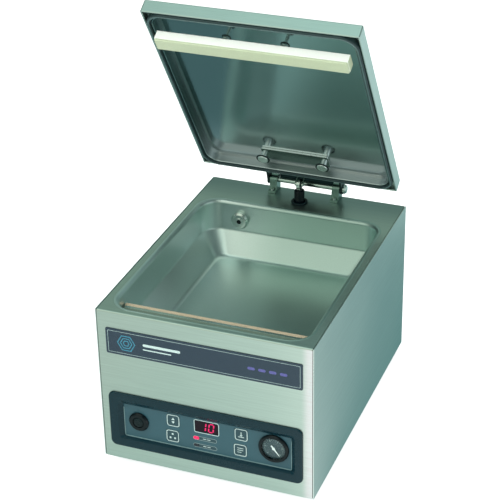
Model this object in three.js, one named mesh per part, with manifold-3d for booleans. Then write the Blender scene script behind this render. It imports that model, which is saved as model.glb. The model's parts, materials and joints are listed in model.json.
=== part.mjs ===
// Tabletop vacuum chamber sealer: a folded stainless casing with a drawn chamber in its deck, a
// hinged lid held open by a gas strut, a seal bar with its counter bar, a control panel, and the
// pump and electrics inside. Millimetres, +Z up, front facing -Y, origin under the middle.
// The lid is modelled closed and then swung open about its hinge axle.

import * as THREE from 'three';
import { mergeVertices } from 'three/addons/utils/BufferGeometryUtils.js';
import Module from 'manifold-3d';

const wasm = await Module();
wasm.setup();

// ---------------------------------------------------------------- driving dimensions
const CASE_WIDTH = 330;
const CASE_DEPTH = 450;
const FOOT_HEIGHT = 18;
const FOOT_X = 120;
const FOOT_Y = 180;
const DECK_Z = 272;
const SHEET = 1.5;
const GAP = 0.3;
const FRONT_Y = -CASE_DEPTH / 2;
const REAR_Y = CASE_DEPTH / 2;
const HALF_WIDTH = CASE_WIDTH / 2;
const INNER_HALF_WIDTH = HALF_WIDTH - SHEET - GAP;

// chamber: a drawn tray whose side and rear walls turn inwards below a ridge
const CHAMBER_HALF_WIDTH = 146;
const CHAMBER_FRONT_Y = -208;
const CHAMBER_REAR_Y = 150;
const CHAMBER_CORNER = 30;
const CHAMBER_LIP = 4;
const CHAMBER_RIDGE_Z = 221;
const CHAMBER_FLOOR_Z = 186.5;
const CHAMBER_INSET = 30;
const CHAMBER_SHEET = 1.5;
const FITTING_X = -88;
const FITTING_Z = 242;

// lid, closed
const LID_OPEN_ANGLE = THREE.MathUtils.degToRad(57.6);
const PIVOT_Y = 215.6;
const PIVOT_Z = 290.6;
const LID_RIM_Z = 275.5;
const LID_HEIGHT = 21.4;
const LID_HALF_WIDTH = 162;
const LID_FRONT_Y = -220.9;
const LID_REAR_Y = 172.7;
const LID_SHEET = 2;
const LID_TOP_Z = LID_RIM_Z + LID_HEIGHT;
const PAN_SHEET = 0.8;
const PAN_TOP_Z = LID_TOP_Z - LID_SHEET - GAP;
const PAN_FACE_Z = PAN_TOP_Z - PAN_SHEET;
const GROOVE_FLOOR_Z = LID_RIM_Z + 8.5;

// seal bar in the chamber and counter bar under the lid
const SEAL_Y = -172.2;
const SEAL_HALF_LENGTH = 144.5;
const SEAL_WIDTH = 17;
const SEAL_TOP_Z = 251.5;
const SEAL_BODY_TOP = SEAL_TOP_Z - 1.5;
const SEAL_BODY_BOTTOM = 236.7;
const COUNTER_WIDTH = 22.5;
const COUNTER_TOP_Z = LID_RIM_Z - 3;
const COUNTER_FACE_Z = LID_RIM_Z - 20;
const COUNTER_POST_X = 44;
const PISTON_X = 95;
const PISTON_RADIUS = 6;
const PISTON_BORE = 6.4;

// hinge and gas strut
const AXLE_RADIUS = 4.5;
const BRACKET_X = 52.5;
const BRACKET_WIDTH = 12.2;
const CHEEK_INNER_X = 60;
const CHEEK_OUTER_X = 63;
const LID_BOLT_X = { left: -52, right: 46 };
const LID_BOLT_Y = 135;
const LID_BOLT_HOLE = 4.4;
const STRUT_Y = PIVOT_Y - 31.5;
const STRUT_RADIUS = 7.5;
const CRANK_Y = -32.1; // crank pin from the pivot, lid open
const CRANK_Z = 13.4;
const PIN_RADIUS = 2;

// control panel on the front
const PANEL_Z = 89.7;
const BEZEL_CENTRE = [-1.5, 89.2];
const BEZEL_WIDTH = 301;
const BEZEL_HEIGHT = 94.2;
const WINDOW_CENTRE = [0, 87.2];
const BEZEL_FRONT_Y = FRONT_Y - 3.2;
const FACE_Y = FRONT_Y + 3.8;
const FACE_THICKNESS = 1.7;
const KEY_SIZE = 20;
const KEY_PLACES = {
  key_upper_left: [-52.3, 102.6],
  key_lower_left: [-54, 75.2],
  key_upper_right: [53.8, 102.4],
  key_lower_right: [52, 75.2],
};
const SWITCH_PLACE = [-107, 88.5];
const GAUGE_PLACE = [103.6, 91.2];
const DISPLAY_PLACE = [0, 102];
const DISPLAY_SIZE = [36, 19];
const GAUGE_REST_ANGLE = THREE.MathUtils.degToRad(-52);

// rear panel
const INLET_PLACE = [105, 62];
const EXHAUST_PLACE = [-90, 62];
const VENT_COLUMNS = [-25, 30];
const VENT_ROWS = 8;

// inside
const PART_BASE = FOOT_HEIGHT + SHEET + GAP;
const PUMP_X = -75;
const MOTOR_Z = 82;
const MOTOR_FRONT_Y = -90;
const MOTOR_RADIUS = 44;
const PUMP_PORT_Z = 112;

// ---------------------------------------------------------------- materials
function metal(colour, roughness = 0.35) {
  return new THREE.MeshStandardMaterial({ color: colour, roughness, metalness: 1 });
}

function plastic(colour, roughness = 0.5) {
  return new THREE.MeshStandardMaterial({ color: colour, roughness, metalness: 0 });
}

const brushedSteel = metal(0xb4c4bc, 0.38);
const drawnSteel = metal(0x8ea39b, 0.3);
const brightSteel = metal(0xd2dcd6, 0.2);
const darkMoulding = plastic(0x22383c, 0.45);
const faceFilm = plastic(0x42646e, 0.4);
const blackRubber = plastic(0x141a1b, 0.7);
const navyPlate = plastic(0x39465c, 0.4);

// ---------------------------------------------------------------- solid helpers
function signedVolume(position, index) {
  const a = new THREE.Vector3();
  const b = new THREE.Vector3();
  const c = new THREE.Vector3();
  let sum = 0;
  for (let i = 0; i < index.length; i += 3) {
    a.fromBufferAttribute(position, index[i]);
    b.fromBufferAttribute(position, index[i + 1]);
    c.fromBufferAttribute(position, index[i + 2]);
    sum += a.dot(b.cross(c));
  }
  return sum / 6;
}

// One closed body: shared corners merged, flat triangles dropped, faces turned outwards.
function closed(source) {
  const bare = new THREE.BufferGeometry();
  bare.setAttribute('position', source.getAttribute('position').clone());
  if (source.index) bare.setIndex(source.index.clone());
  const merged = mergeVertices(bare, 1e-4);
  const kept = [];
  const index = merged.index.array;
  for (let i = 0; i < index.length; i += 3) {
    const [a, b, c] = [index[i], index[i + 1], index[i + 2]];
    if (a !== b && b !== c && c !== a) kept.push(a, b, c);
  }
  if (signedVolume(merged.getAttribute('position'), kept) < 0) kept.reverse();
  merged.setIndex(kept);
  return merged;
}

function toManifold(geometry) {
  const ready = closed(geometry);
  return new wasm.Manifold(new wasm.Mesh({
    numProp: 3,
    vertProperties: new Float32Array(ready.getAttribute('position').array),
    triVerts: new Uint32Array(ready.index.array),
  }));
}

function fromManifold(solid) {
  const mesh = solid.getMesh();
  const geometry = new THREE.BufferGeometry();
  geometry.setAttribute('position', new THREE.BufferAttribute(mesh.vertProperties, 3));
  geometry.setIndex(Array.from(mesh.triVerts));
  return geometry;
}

function cut(body, ...tools) {
  return fromManifold(tools.reduce((left, tool) => left.subtract(toManifold(tool)), toManifold(body)));
}

function join(first, ...others) {
  return fromManifold(others.reduce((left, other) => left.add(toManifold(other)), toManifold(first)));
}

// ---------------------------------------------------------------- outlines
function roundedRect(x0, y0, x1, y1, r) {
  const quarter = Math.PI / 2;
  return new THREE.Shape()
    .moveTo(x0 + r, y0)
    .lineTo(x1 - r, y0)
    .absarc(x1 - r, y0 + r, r, -quarter, 0, false)
    .lineTo(x1, y1 - r)
    .absarc(x1 - r, y1 - r, r, 0, quarter, false)
    .lineTo(x0 + r, y1)
    .absarc(x0 + r, y1 - r, r, quarter, 2 * quarter, false)
    .lineTo(x0, y0 + r)
    .absarc(x0 + r, y0 + r, r, 2 * quarter, 3 * quarter, false);
}

function rectangle(x0, y0, x1, y1, r = 0) {
  if (r > 0) return roundedRect(x0, y0, x1, y1, r);
  return polygon([[x0, y0], [x1, y0], [x1, y1], [x0, y1]]);
}

function centredRect([cx, cy], width, height, r = 0) {
  return rectangle(cx - width / 2, cy - height / 2, cx + width / 2, cy + height / 2, r);
}

function polygon(points) {
  return new THREE.Shape(points.map(([u, v]) => new THREE.Vector2(u, v)));
}

// ---------------------------------------------------------------- extrusions, boxes and lathes
function extruded(shape, depth, segments) {
  return new THREE.ExtrudeGeometry(shape, { depth, bevelEnabled: false, curveSegments: segments });
}

// Outline in X and Y, standing from z0 to z1.
function slabZ(shape, z0, z1, segments = 6) {
  return extruded(shape, z1 - z0, segments).translate(0, 0, z0);
}

// Outline in X and Z, running from y0 back to y1.
function slabY(shape, y0, y1, segments = 6) {
  return extruded(shape, y1 - y0, segments).rotateX(Math.PI / 2).translate(0, y1, 0);
}

// Outline in Y and Z, running from x0 to x1.
function slabX(shape, x0, x1, segments = 6) {
  const turn = new THREE.Matrix4().set(0, 0, 1, 0, 1, 0, 0, 0, 0, 1, 0, 0, 0, 0, 0, 1);
  return extruded(shape, x1 - x0, segments).applyMatrix4(turn).translate(x0, 0, 0);
}

function box(x0, y0, z0, x1, y1, z1) {
  return new THREE.BoxGeometry(x1 - x0, y1 - y0, z1 - z0)
    .translate((x0 + x1) / 2, (y0 + y1) / 2, (z0 + z1) / 2);
}

// Profile of [radius, height] points turned about a line parallel to an axis.
function turned(profile, axis, [x, y, z] = [0, 0, 0], segments = 24) {
  const points = profile.map(([r, h]) => new THREE.Vector2(r, h));
  const geometry = new THREE.LatheGeometry(points, segments);
  if (axis === 'z') geometry.rotateX(Math.PI / 2);
  if (axis === 'x') geometry.rotateZ(-Math.PI / 2);
  return geometry.translate(x, y, z);
}

function rod(radius, from, to, axis, place, segments = 20) {
  return turned([[0, from], [radius, from], [radius, to], [0, to]], axis, place, segments);
}

// ---------------------------------------------------------------- lofts of rounded rectangles
const CORNER_STEPS = 6;

function ringPoints({ x0, y0, x1, y1, r, z }) {
  const centres = [
    [x1 - r, y0 + r, -90], [x1 - r, y1 - r, 0], [x0 + r, y1 - r, 90], [x0 + r, y0 + r, 180],
  ];
  const points = [];
  for (const [cx, cy, start] of centres) {
    for (let i = 0; i <= CORNER_STEPS; i++) {
      const a = THREE.MathUtils.degToRad(start + (90 * i) / CORNER_STEPS);
      points.push([cx + r * Math.cos(a), cy + r * Math.sin(a), z]);
    }
  }
  return points;
}

// A closed body through a stack of rings, capped by a fan at each end.
function loft(rings) {
  const count = 4 * (CORNER_STEPS + 1);
  const vertices = rings.flatMap(ringPoints);
  const index = [];
  for (let k = 0; k + 1 < rings.length; k++) {
    for (let i = 0; i < count; i++) {
      const j = (i + 1) % count;
      const [a, b, c, d] = [k * count + i, k * count + j, (k + 1) * count + i, (k + 1) * count + j];
      index.push(a, b, d, a, d, c);
    }
  }
  for (const [k, flip] of [[0, true], [rings.length - 1, false]]) {
    const { x0, y0, x1, y1, z } = rings[k];
    const centre = vertices.push([(x0 + x1) / 2, (y0 + y1) / 2, z]) - 1;
    for (let i = 0; i < count; i++) {
      const [a, b] = [k * count + i, k * count + ((i + 1) % count)];
      index.push(...(flip ? [centre, b, a] : [centre, a, b]));
    }
  }
  const geometry = new THREE.BufferGeometry();
  geometry.setAttribute('position', new THREE.Float32BufferAttribute(vertices.flat(), 3));
  geometry.setIndex(index);
  return geometry;
}

// ---------------------------------------------------------------- casing
function frontDeckPanel() {
  const bend = 3;
  const profile = new THREE.Shape()
    .moveTo(FRONT_Y, FOOT_HEIGHT)
    .lineTo(FRONT_Y + SHEET, FOOT_HEIGHT)
    .lineTo(FRONT_Y + SHEET, DECK_Z - bend)
    .absarc(FRONT_Y + bend, DECK_Z - bend, bend - SHEET, Math.PI, Math.PI / 2, true)
    .lineTo(REAR_Y, DECK_Z - SHEET)
    .lineTo(REAR_Y, DECK_Z)
    .lineTo(FRONT_Y + bend, DECK_Z)
    .absarc(FRONT_Y + bend, DECK_Z - bend, bend, Math.PI / 2, Math.PI, false)
    .lineTo(FRONT_Y, FOOT_HEIGHT);
  const sheet = slabX(profile, -INNER_HALF_WIDTH, INNER_HALF_WIDTH, 4);
  const lip = CHAMBER_LIP + GAP;
  const mouth = loft([DECK_Z - 10, DECK_Z + 10].map((z) => chamberRing(-lip, z)));
  const strutHole = rod(10.6, DECK_Z - 10, DECK_Z + 10, 'z', [0, STRUT_Y, 0], 28);
  const controls = box(-139, FRONT_Y - 5, PANEL_Z - 34.2, 139, FRONT_Y + 5, PANEL_Z + 34.2);
  return cut(sheet, mouth, strutHole, controls);
}

function sidePanel(side) {
  const x0 = side > 0 ? HALF_WIDTH - SHEET : -HALF_WIDTH;
  return box(x0, FRONT_Y, FOOT_HEIGHT, x0 + SHEET, REAR_Y, DECK_Z);
}

function rearPanel() {
  const [y0, y1] = [REAR_Y - SHEET, REAR_Y];
  const outline = rectangle(-INNER_HALF_WIDTH, FOOT_HEIGHT, INNER_HALF_WIDTH, DECK_Z - SHEET - GAP);
  const openings = [
    slabY(centredRect(INLET_PLACE, 29, 21.5), y0 - 5, y1 + 5),
    rod(10.5, y0 - 5, y1 + 5, 'y', [EXHAUST_PLACE[0], 0, EXHAUST_PLACE[1]], 24),
  ];
  for (const x of VENT_COLUMNS) {
    for (let row = 0; row < VENT_ROWS; row++) {
      openings.push(slabY(centredRect([x, 45 + row * 10], 42, 4), y0 - 5, y1 + 5));
    }
  }
  return cut(slabY(outline, y0, y1), ...openings);
}

function basePlate() {
  const inset = 2.2;
  const plate = rectangle(-HALF_WIDTH + inset, FRONT_Y + inset, HALF_WIDTH - inset, REAR_Y - inset);
  return slabZ(plate, FOOT_HEIGHT, FOOT_HEIGHT + SHEET);
}

function foot(x, y) {
  const profile = [[0, 0], [12, 0], [14, FOOT_HEIGHT - GAP], [0, FOOT_HEIGHT - GAP]];
  return turned(profile, 'z', [x, y, 0], 20);
}

// ---------------------------------------------------------------- chamber
// Inset 0 is the upright wall. The front wall stays upright, so only the other three move in.
function chamberRing(inset, z) {
  const corner = inset < 0 ? CHAMBER_CORNER - inset : CHAMBER_CORNER - inset * 0.4;
  return {
    x0: -CHAMBER_HALF_WIDTH + inset,
    x1: CHAMBER_HALF_WIDTH - inset,
    y0: CHAMBER_FRONT_Y + Math.min(inset, 0),
    y1: CHAMBER_REAR_Y - inset,
    r: corner,
    z,
  };
}

// The tray's rings from the floor up: its inner face for thickness 0, else its outer face.
function chamberRings(thickness) {
  const lip = CHAMBER_LIP;
  const rings = [];
  if (thickness === 0) {
    rings.push(chamberRing(-lip, DECK_Z + 5));
    for (const a of [90, 120, 150, 180]) {
      const turn = THREE.MathUtils.degToRad(a);
      rings.push(chamberRing(-lip - lip * Math.cos(turn), DECK_Z - lip + lip * Math.sin(turn)));
    }
  } else {
    rings.push(chamberRing(-lip, DECK_Z), chamberRing(-lip, DECK_Z - SHEET));
    rings.push(chamberRing(-thickness, DECK_Z - lip - 1));
  }
  const slope = (CHAMBER_RIDGE_Z - CHAMBER_FLOOR_Z) / CHAMBER_INSET;
  const section = [
    [0, CHAMBER_RIDGE_Z + 6], [0.9, CHAMBER_RIDGE_Z + 1], [4, CHAMBER_RIDGE_Z - 4 * slope],
    [25, CHAMBER_RIDGE_Z - 25 * slope], [29, CHAMBER_FLOOR_Z + 2], [34, CHAMBER_FLOOR_Z],
  ];
  for (const [inset, z] of section) rings.push(chamberRing(inset - thickness, z - thickness));
  return rings.reverse();
}

function chamber() {
  const outer = loft(chamberRings(CHAMBER_SHEET));
  // the outer body's front wall is one sheet in front of the inner one
  outer.getAttribute('position').array.forEach((value, i, array) => {
    if (i % 3 === 1 && Math.abs(value - CHAMBER_FRONT_Y) < 1e-3) array[i] = CHAMBER_FRONT_Y - CHAMBER_SHEET;
  });
  const port = rod(7.4, CHAMBER_REAR_Y - 10, CHAMBER_REAR_Y + 10, 'y', [FITTING_X, 0, FITTING_Z], 16);
  return cut(outer, loft(chamberRings(0)), port);
}

// Nozzle on the chamber's rear wall: a round head inside, a hose tail outside.
function airFitting() {
  const inside = CHAMBER_REAR_Y - GAP;
  const profile = [
    [0, inside - 5], [2.6, inside - 5], [2.6, inside - 9], [9.5, inside - 9], [11.5, inside - 7],
    [11.5, inside], [7, inside], [7, CHAMBER_REAR_Y + 12], [5, CHAMBER_REAR_Y + 15],
    [0, CHAMBER_REAR_Y + 15],
  ];
  return turned(profile, 'y', [FITTING_X, 0, FITTING_Z], 20);
}

// ---------------------------------------------------------------- seal bar
function pistonCylinder(x) {
  const floor = CHAMBER_FLOOR_Z + GAP;
  const profile = [
    [0, floor], [13, floor], [13, floor + 4], [11.5, floor + 5], [11.5, 228], [PISTON_BORE, 228],
    [PISTON_BORE, 194], [0, 194],
  ];
  return turned(profile, 'z', [x, SEAL_Y, 0], 20);
}

function sealPiston(x) {
  return rod(PISTON_RADIUS, 200, SEAL_BODY_BOTTOM - GAP, 'z', [x, SEAL_Y, 0], 20);
}

function sealBarBody() {
  const half = SEAL_WIDTH / 2;
  const outline = polygon([
    [-half, SEAL_BODY_BOTTOM], [half, SEAL_BODY_BOTTOM], [half, SEAL_BODY_BOTTOM + 5],
    [half - 2, SEAL_BODY_BOTTOM + 5], [half - 2, SEAL_BODY_BOTTOM + 7], [half, SEAL_BODY_BOTTOM + 7],
    [half, SEAL_BODY_TOP - 1], [half - 1, SEAL_BODY_TOP], [-half + 1, SEAL_BODY_TOP],
    [-half, SEAL_BODY_TOP - 1], [-half, SEAL_BODY_BOTTOM + 7], [-half + 2, SEAL_BODY_BOTTOM + 7],
    [-half + 2, SEAL_BODY_BOTTOM + 5], [-half, SEAL_BODY_BOTTOM + 5],
  ]);
  return slabX(outline, -SEAL_HALF_LENGTH, SEAL_HALF_LENGTH).translate(0, SEAL_Y, 0);
}

function sealWire() {
  const wire = polygon([
    [-2.5, SEAL_BODY_TOP + GAP], [2.5, SEAL_BODY_TOP + GAP],
    [2.5, SEAL_BODY_TOP + 0.8], [-2.5, SEAL_BODY_TOP + 0.8],
  ]);
  return slabX(wire, -SEAL_HALF_LENGTH + 3, SEAL_HALF_LENGTH - 3).translate(0, SEAL_Y, 0);
}

function sealTape() {
  const inner = SEAL_WIDTH / 2 + GAP;
  const outer = inner + 0.4;
  const skirt = SEAL_BODY_TOP - 6;
  const outline = polygon([
    [-outer, skirt], [-inner, skirt], [-inner, SEAL_TOP_Z - 0.4], [inner, SEAL_TOP_Z - 0.4],
    [inner, skirt], [outer, skirt], [outer, SEAL_TOP_Z - 0.4], [outer - 0.4, SEAL_TOP_Z],
    [-outer + 0.4, SEAL_TOP_Z], [-outer, SEAL_TOP_Z - 0.4],
  ]);
  return slabX(outline, -SEAL_HALF_LENGTH, SEAL_HALF_LENGTH).translate(0, SEAL_Y, 0);
}

// ---------------------------------------------------------------- lid, built closed
function lidRing(inset, z, corner) {
  return {
    x0: -LID_HALF_WIDTH + inset,
    x1: LID_HALF_WIDTH - inset,
    y0: LID_FRONT_Y + inset,
    y1: LID_REAR_Y - inset,
    r: corner,
    z,
  };
}

function boltHoles() {
  return Object.values(LID_BOLT_X).map((x) => rod(LID_BOLT_HOLE, 260, 320, 'z', [x, LID_BOLT_Y, 0], 16));
}

function lidShell() {
  const outer = loft([
    lidRing(0, LID_RIM_Z, 2.5), lidRing(0, LID_TOP_Z - 2, 2.5),
    lidRing(0.6, LID_TOP_Z - 0.6, 2.2), lidRing(2, LID_TOP_Z, 2),
  ]);
  const inner = loft([
    lidRing(LID_SHEET, LID_RIM_Z - 5, 0.8), lidRing(LID_SHEET, LID_TOP_Z - LID_SHEET, 0.8),
  ]);
  return cut(outer, inner, ...boltHoles());
}

// Inner tray: flange against the shell, folded lip down to the rim, then the dished face.
function lidInnerPan() {
  const outer = loft([
    lidRing(10.2, LID_RIM_Z + 0.4, 24), lidRing(10.2, GROOVE_FLOOR_Z, 24),
    lidRing(2.3, GROOVE_FLOOR_Z, 1), lidRing(2.3, GROOVE_FLOOR_Z + PAN_SHEET, 1),
    lidRing(11, GROOVE_FLOOR_Z + PAN_SHEET, 23), lidRing(13, PAN_TOP_Z - 2, 21),
    lidRing(15.5, PAN_TOP_Z, 19),
  ]);
  const inner = loft([
    lidRing(11.8, LID_RIM_Z - 5, 22.4), lidRing(11.8, PAN_FACE_Z - 6, 22.4),
    lidRing(13.4, PAN_FACE_Z - 2, 21), lidRing(17, PAN_FACE_Z, 18),
  ]);
  return cut(outer, inner, ...boltHoles());
}

function lidGasket() {
  const top = GROOVE_FLOOR_Z - GAP;
  const bottom = LID_RIM_Z - 3.1;
  const outer = loft([
    lidRing(4.8, bottom, 25.2), lidRing(3.3, bottom + 0.7, 26.4),
    lidRing(2.4, bottom + 2.6, 27.2), lidRing(2.4, top, 27.2),
  ]);
  const inner = loft([
    lidRing(7.4, bottom - 1, 23.4), lidRing(7.4, bottom, 23.4), lidRing(8.9, bottom + 0.7, 22.4),
    lidRing(9.8, bottom + 2.6, 21.8), lidRing(9.8, top + 1, 21.8),
  ]);
  return cut(outer, inner);
}

function counterBarHolder() {
  const half = COUNTER_WIDTH / 2;
  const floor = COUNTER_FACE_Z + 3 + GAP;
  const outline = rectangle(SEAL_Y - half, floor, SEAL_Y + half, COUNTER_TOP_Z, 1.2);
  return slabX(outline, -SEAL_HALF_LENGTH, SEAL_HALF_LENGTH, 2);
}

function counterBarSilicone() {
  const half = COUNTER_WIDTH / 2;
  const outline = rectangle(SEAL_Y - half, COUNTER_FACE_Z, SEAL_Y + half, COUNTER_FACE_Z + 3, 1.4);
  return slabX(outline, -SEAL_HALF_LENGTH + 0.5, SEAL_HALF_LENGTH - 0.5, 3);
}

function counterBarPost(x) {
  const [low, high] = [COUNTER_TOP_Z + GAP, PAN_FACE_Z - GAP];
  const profile = [
    [0, low], [4, low], [4, low + 11], [7, low + 13.5], [7, high - 2], [6, high], [0, high],
  ];
  return turned(profile, 'z', [x, SEAL_Y, 0], 16);
}

// Hinge plate on the lid's top: bolted plate, two cheeks round the axle, two lugs for the strut pin.
function lidHingePlate() {
  const [low, high] = [LID_TOP_Z + GAP, LID_TOP_Z + GAP + 3];
  const rear = PIVOT_Y + 6.5;
  const plate = slabZ(rectangle(-CHEEK_OUTER_X, 112, CHEEK_OUTER_X, rear, 4), low, high, 4);
  const cheekShape = new THREE.Shape()
    .moveTo(LID_REAR_Y + 4, high)
    .lineTo(LID_REAR_Y + 4, LID_TOP_Z - 4)
    .lineTo(PIVOT_Y - 6, PIVOT_Z - 6.5)
    .absarc(PIVOT_Y, PIVOT_Z, 8.9, Math.PI * 1.26, Math.PI * 1.85, false)
    .lineTo(rear, high);
  const [pinY, pinZ] = crankPinClosed();
  const lugShape = new THREE.Shape()
    .moveTo(pinY - 9, high)
    .lineTo(pinY - 3.2, pinZ + 12)
    .absarc(pinY, pinZ, 3.2, Math.PI, Math.PI * 2, false)
    .lineTo(pinY + 3.2, pinZ + 12)
    .lineTo(pinY + 9, high);
  const pieces = [];
  for (const side of [-1, 1]) {
    const xs = [side * CHEEK_INNER_X, side * CHEEK_OUTER_X].sort((a, b) => a - b);
    pieces.push(slabX(cheekShape, ...xs, 6));
    const lug = [side * 4.6, side * 6.8].sort((a, b) => a - b);
    pieces.push(slabX(lugShape, ...lug, 5));
  }
  // the plate is notched over each deck bracket, so the bracket's round top can pass
  const notches = [-1, 1].map((side) => {
    const reach = BRACKET_WIDTH / 2 + 0.8;
    const x = side * BRACKET_X;
    return box(x - reach, PIVOT_Y - 13.5, low - 2, x + reach, rear + 2, high + 2);
  });
  const axleBore = rod(AXLE_RADIUS + 0.06, -80, 80, 'x', [0, PIVOT_Y, PIVOT_Z], 32);
  const pinBore = rod(PIN_RADIUS + GAP, -20, 20, 'x', [0, pinY, pinZ], 16);
  return cut(join(plate, ...pieces), axleBore, pinBore, ...notches, ...boltHoles());
}

function lidBackingPlate() {
  const shape = rectangle(-59, 128, 52, 155, 3);
  return cut(slabZ(shape, PAN_FACE_Z - GAP - 3, PAN_FACE_Z - GAP, 3), ...boltHoles());
}

// Bolt through the inner pan, shell and hinge plate, with a collar and a broad head below.
function lidBolt(x) {
  const collarTop = PAN_FACE_Z - 2 * GAP - 3;
  const headLow = LID_RIM_Z - 1.5;
  const top = LID_TOP_Z + 2 * GAP + 3;
  const profile = [
    [0, headLow], [8.6, headLow], [9.6, headLow + 1], [9.6, headLow + 4], [5, headLow + 4],
    [5, collarTop], [4, collarTop], [4, top], [7.4, top], [7.4, top + 4], [6.4, top + 5], [0, top + 5],
  ];
  return turned(profile, 'z', [x, LID_BOLT_Y, 0], 20);
}

// ---------------------------------------------------------------- hinge and gas strut
function crankPinClosed() {
  const [c, s] = [Math.cos(LID_OPEN_ANGLE), Math.sin(LID_OPEN_ANGLE)];
  return [PIVOT_Y + CRANK_Y * c - CRANK_Z * s, PIVOT_Z + CRANK_Y * s + CRANK_Z * c];
}

function hingeBracket(side) {
  const base = DECK_Z + GAP;
  const [x0, x1] = [side * BRACKET_X - BRACKET_WIDTH / 2, side * BRACKET_X + BRACKET_WIDTH / 2];
  const outline = new THREE.Shape()
    .moveTo(198, base)
    .lineTo(REAR_Y - 1, base)
    .lineTo(REAR_Y - 1, PIVOT_Z)
    .absarc(PIVOT_Y, PIVOT_Z, REAR_Y - 1 - PIVOT_Y, 0, Math.PI, false)
    .lineTo(205, base + 4)
    .lineTo(198, base + 4)
    .lineTo(198, base);
  const bore = rod(AXLE_RADIUS + GAP, x0 - 5, x1 + 5, 'x', [0, PIVOT_Y, PIVOT_Z], 32);
  return cut(slabX(outline, x0, x1, 8), bore);
}

function hingeAxle() {
  const profile = [
    [0, -64.5], [AXLE_RADIUS - 0.6, -64.5], [AXLE_RADIUS, -63.9], [AXLE_RADIUS, CHEEK_OUTER_X + GAP],
    [7.6, CHEEK_OUTER_X + GAP], [7.6, 66.4], [5.6, 68.6], [0, 69.6],
  ];
  return turned(profile, 'x', [0, PIVOT_Y, PIVOT_Z], 32);
}

function strutPin() {
  const [y, z] = crankPinClosed();
  return rod(PIN_RADIUS, -6.9, 6.9, 'x', [0, y, z], 16);
}

function strutGrommet() {
  const [low, high] = [DECK_Z - 4, DECK_Z + GAP + 2.4];
  const profile = [
    [9.7, low], [10.3, low], [10.3, DECK_Z + GAP], [12.2, DECK_Z + GAP], [12.2, high - 1],
    [11.2, high], [9.7, high], [9.7, low],
  ];
  return turned(profile, 'z', [0, STRUT_Y, 0], 28);
}

// Strut cylinder, open below for its rod, with a slotted eye on top for the crank pin.
function strutTube() {
  const pinZ = PIVOT_Z + CRANK_Z;
  const top = pinZ - 10.5;
  const profile = [
    [4, 150], [STRUT_RADIUS - 1, 150], [STRUT_RADIUS, 151], [STRUT_RADIUS, top - 1.5],
    [STRUT_RADIUS - 1.5, top], [0, top], [0, 282], [4, 282], [4, 150],
  ];
  const tube = turned(profile, 'z', [0, STRUT_Y, 0], 24);
  const eye = rod(8.5, -3, 3, 'x', [0, STRUT_Y, pinZ], 24);
  const neck = box(-3, STRUT_Y - 5, top - 4, 3, STRUT_Y + 5, pinZ - 5);
  const slot = slabX(rectangle(STRUT_Y - 6.1, pinZ - 2.7, STRUT_Y + 6.1, pinZ + 2.7, 2.6), -5, 5, 5);
  return cut(join(tube, eye, neck), slot);
}

function strutRod() {
  return rod(3, 46.3, 200, 'z', [0, STRUT_Y, 0], 16);
}

function strutAnchor() {
  const outline = polygon([
    [-22, PART_BASE], [22, PART_BASE], [22, PART_BASE + 3], [9, PART_BASE + 3],
    [9, 46], [-9, 46], [-9, PART_BASE + 3], [-22, PART_BASE + 3],
  ]);
  return slabY(outline, STRUT_Y - 9, STRUT_Y + 9);
}

// ---------------------------------------------------------------- control panel
function panelRing(width, height, r, depth, [x, z] = [0, PANEL_Z]) {
  return { x0: x - width / 2, x1: x + width / 2, y0: z - height / 2, y1: z + height / 2, r, z: depth };
}

// Lofts drawn in X and Z are stacked along -Y, so depth here is the distance in front of y = 0.
function frontLoft(rings) {
  return loft(rings).rotateX(Math.PI / 2);
}

function controlBezel() {
  const flange = FRONT_Y - GAP;
  const outer = frontLoft([
    panelRing(277, 67.6, 4, -(FRONT_Y + 6.2)), panelRing(277, 67.6, 4, -flange),
    panelRing(BEZEL_WIDTH, BEZEL_HEIGHT, 9.5, -flange, BEZEL_CENTRE),
    panelRing(BEZEL_WIDTH, BEZEL_HEIGHT, 9.5, -BEZEL_FRONT_Y - 1.4, BEZEL_CENTRE),
    panelRing(BEZEL_WIDTH - 2.6, BEZEL_HEIGHT - 2.6, 8.4, -BEZEL_FRONT_Y, BEZEL_CENTRE),
  ]);
  const funnel = frontLoft([
    panelRing(262, 57, 3, -(FRONT_Y + 9), WINDOW_CENTRE),
    panelRing(262, 57, 3, -(FACE_Y - GAP), WINDOW_CENTRE),
    panelRing(275, 68, 7, -BEZEL_FRONT_Y), panelRing(275, 68, 7, -BEZEL_FRONT_Y + 5),
  ]);
  const pocket = slabY(centredRect([0, PANEL_Z], 273.6, 64.6, 3), FACE_Y - GAP, FRONT_Y + 9, 3);
  return cut(outer, funnel, pocket);
}

function membranePanel() {
  const [y0, y1] = [FACE_Y - 2, FACE_Y + FACE_THICKNESS + 2];
  const keyHoles = Object.values(KEY_PLACES).map(
    (place) => slabY(centredRect(place, KEY_SIZE + 0.8, KEY_SIZE + 0.8, 3.3), y0, y1, 3),
  );
  const window = centredRect(DISPLAY_PLACE, DISPLAY_SIZE[0] + 0.6, DISPLAY_SIZE[1] + 0.6, 1.3);
  return cut(
    slabY(centredRect([0, PANEL_Z], 273, 64, 3), FACE_Y, FACE_Y + FACE_THICKNESS, 3),
    ...keyHoles,
    slabY(window, y0, y1, 2),
    rod(9.5, y0, y1, 'y', [SWITCH_PLACE[0], 0, SWITCH_PLACE[1]], 24),
    rod(19.2, y0, y1, 'y', [GAUGE_PLACE[0], 0, GAUGE_PLACE[1]], 32),
  );
}

function key(place) {
  return slabY(centredRect(place, KEY_SIZE, KEY_SIZE, 3), FACE_Y - 0.3, FACE_Y + 1, 3);
}

function displayModule() {
  const window = slabY(centredRect(DISPLAY_PLACE, ...DISPLAY_SIZE, 1), FACE_Y + 0.3, FACE_Y + 3, 3);
  const body = slabY(centredRect(DISPLAY_PLACE, 42, 24), FACE_Y + FACE_THICKNESS + GAP, FACE_Y + 9);
  return join(window, body);
}

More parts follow.
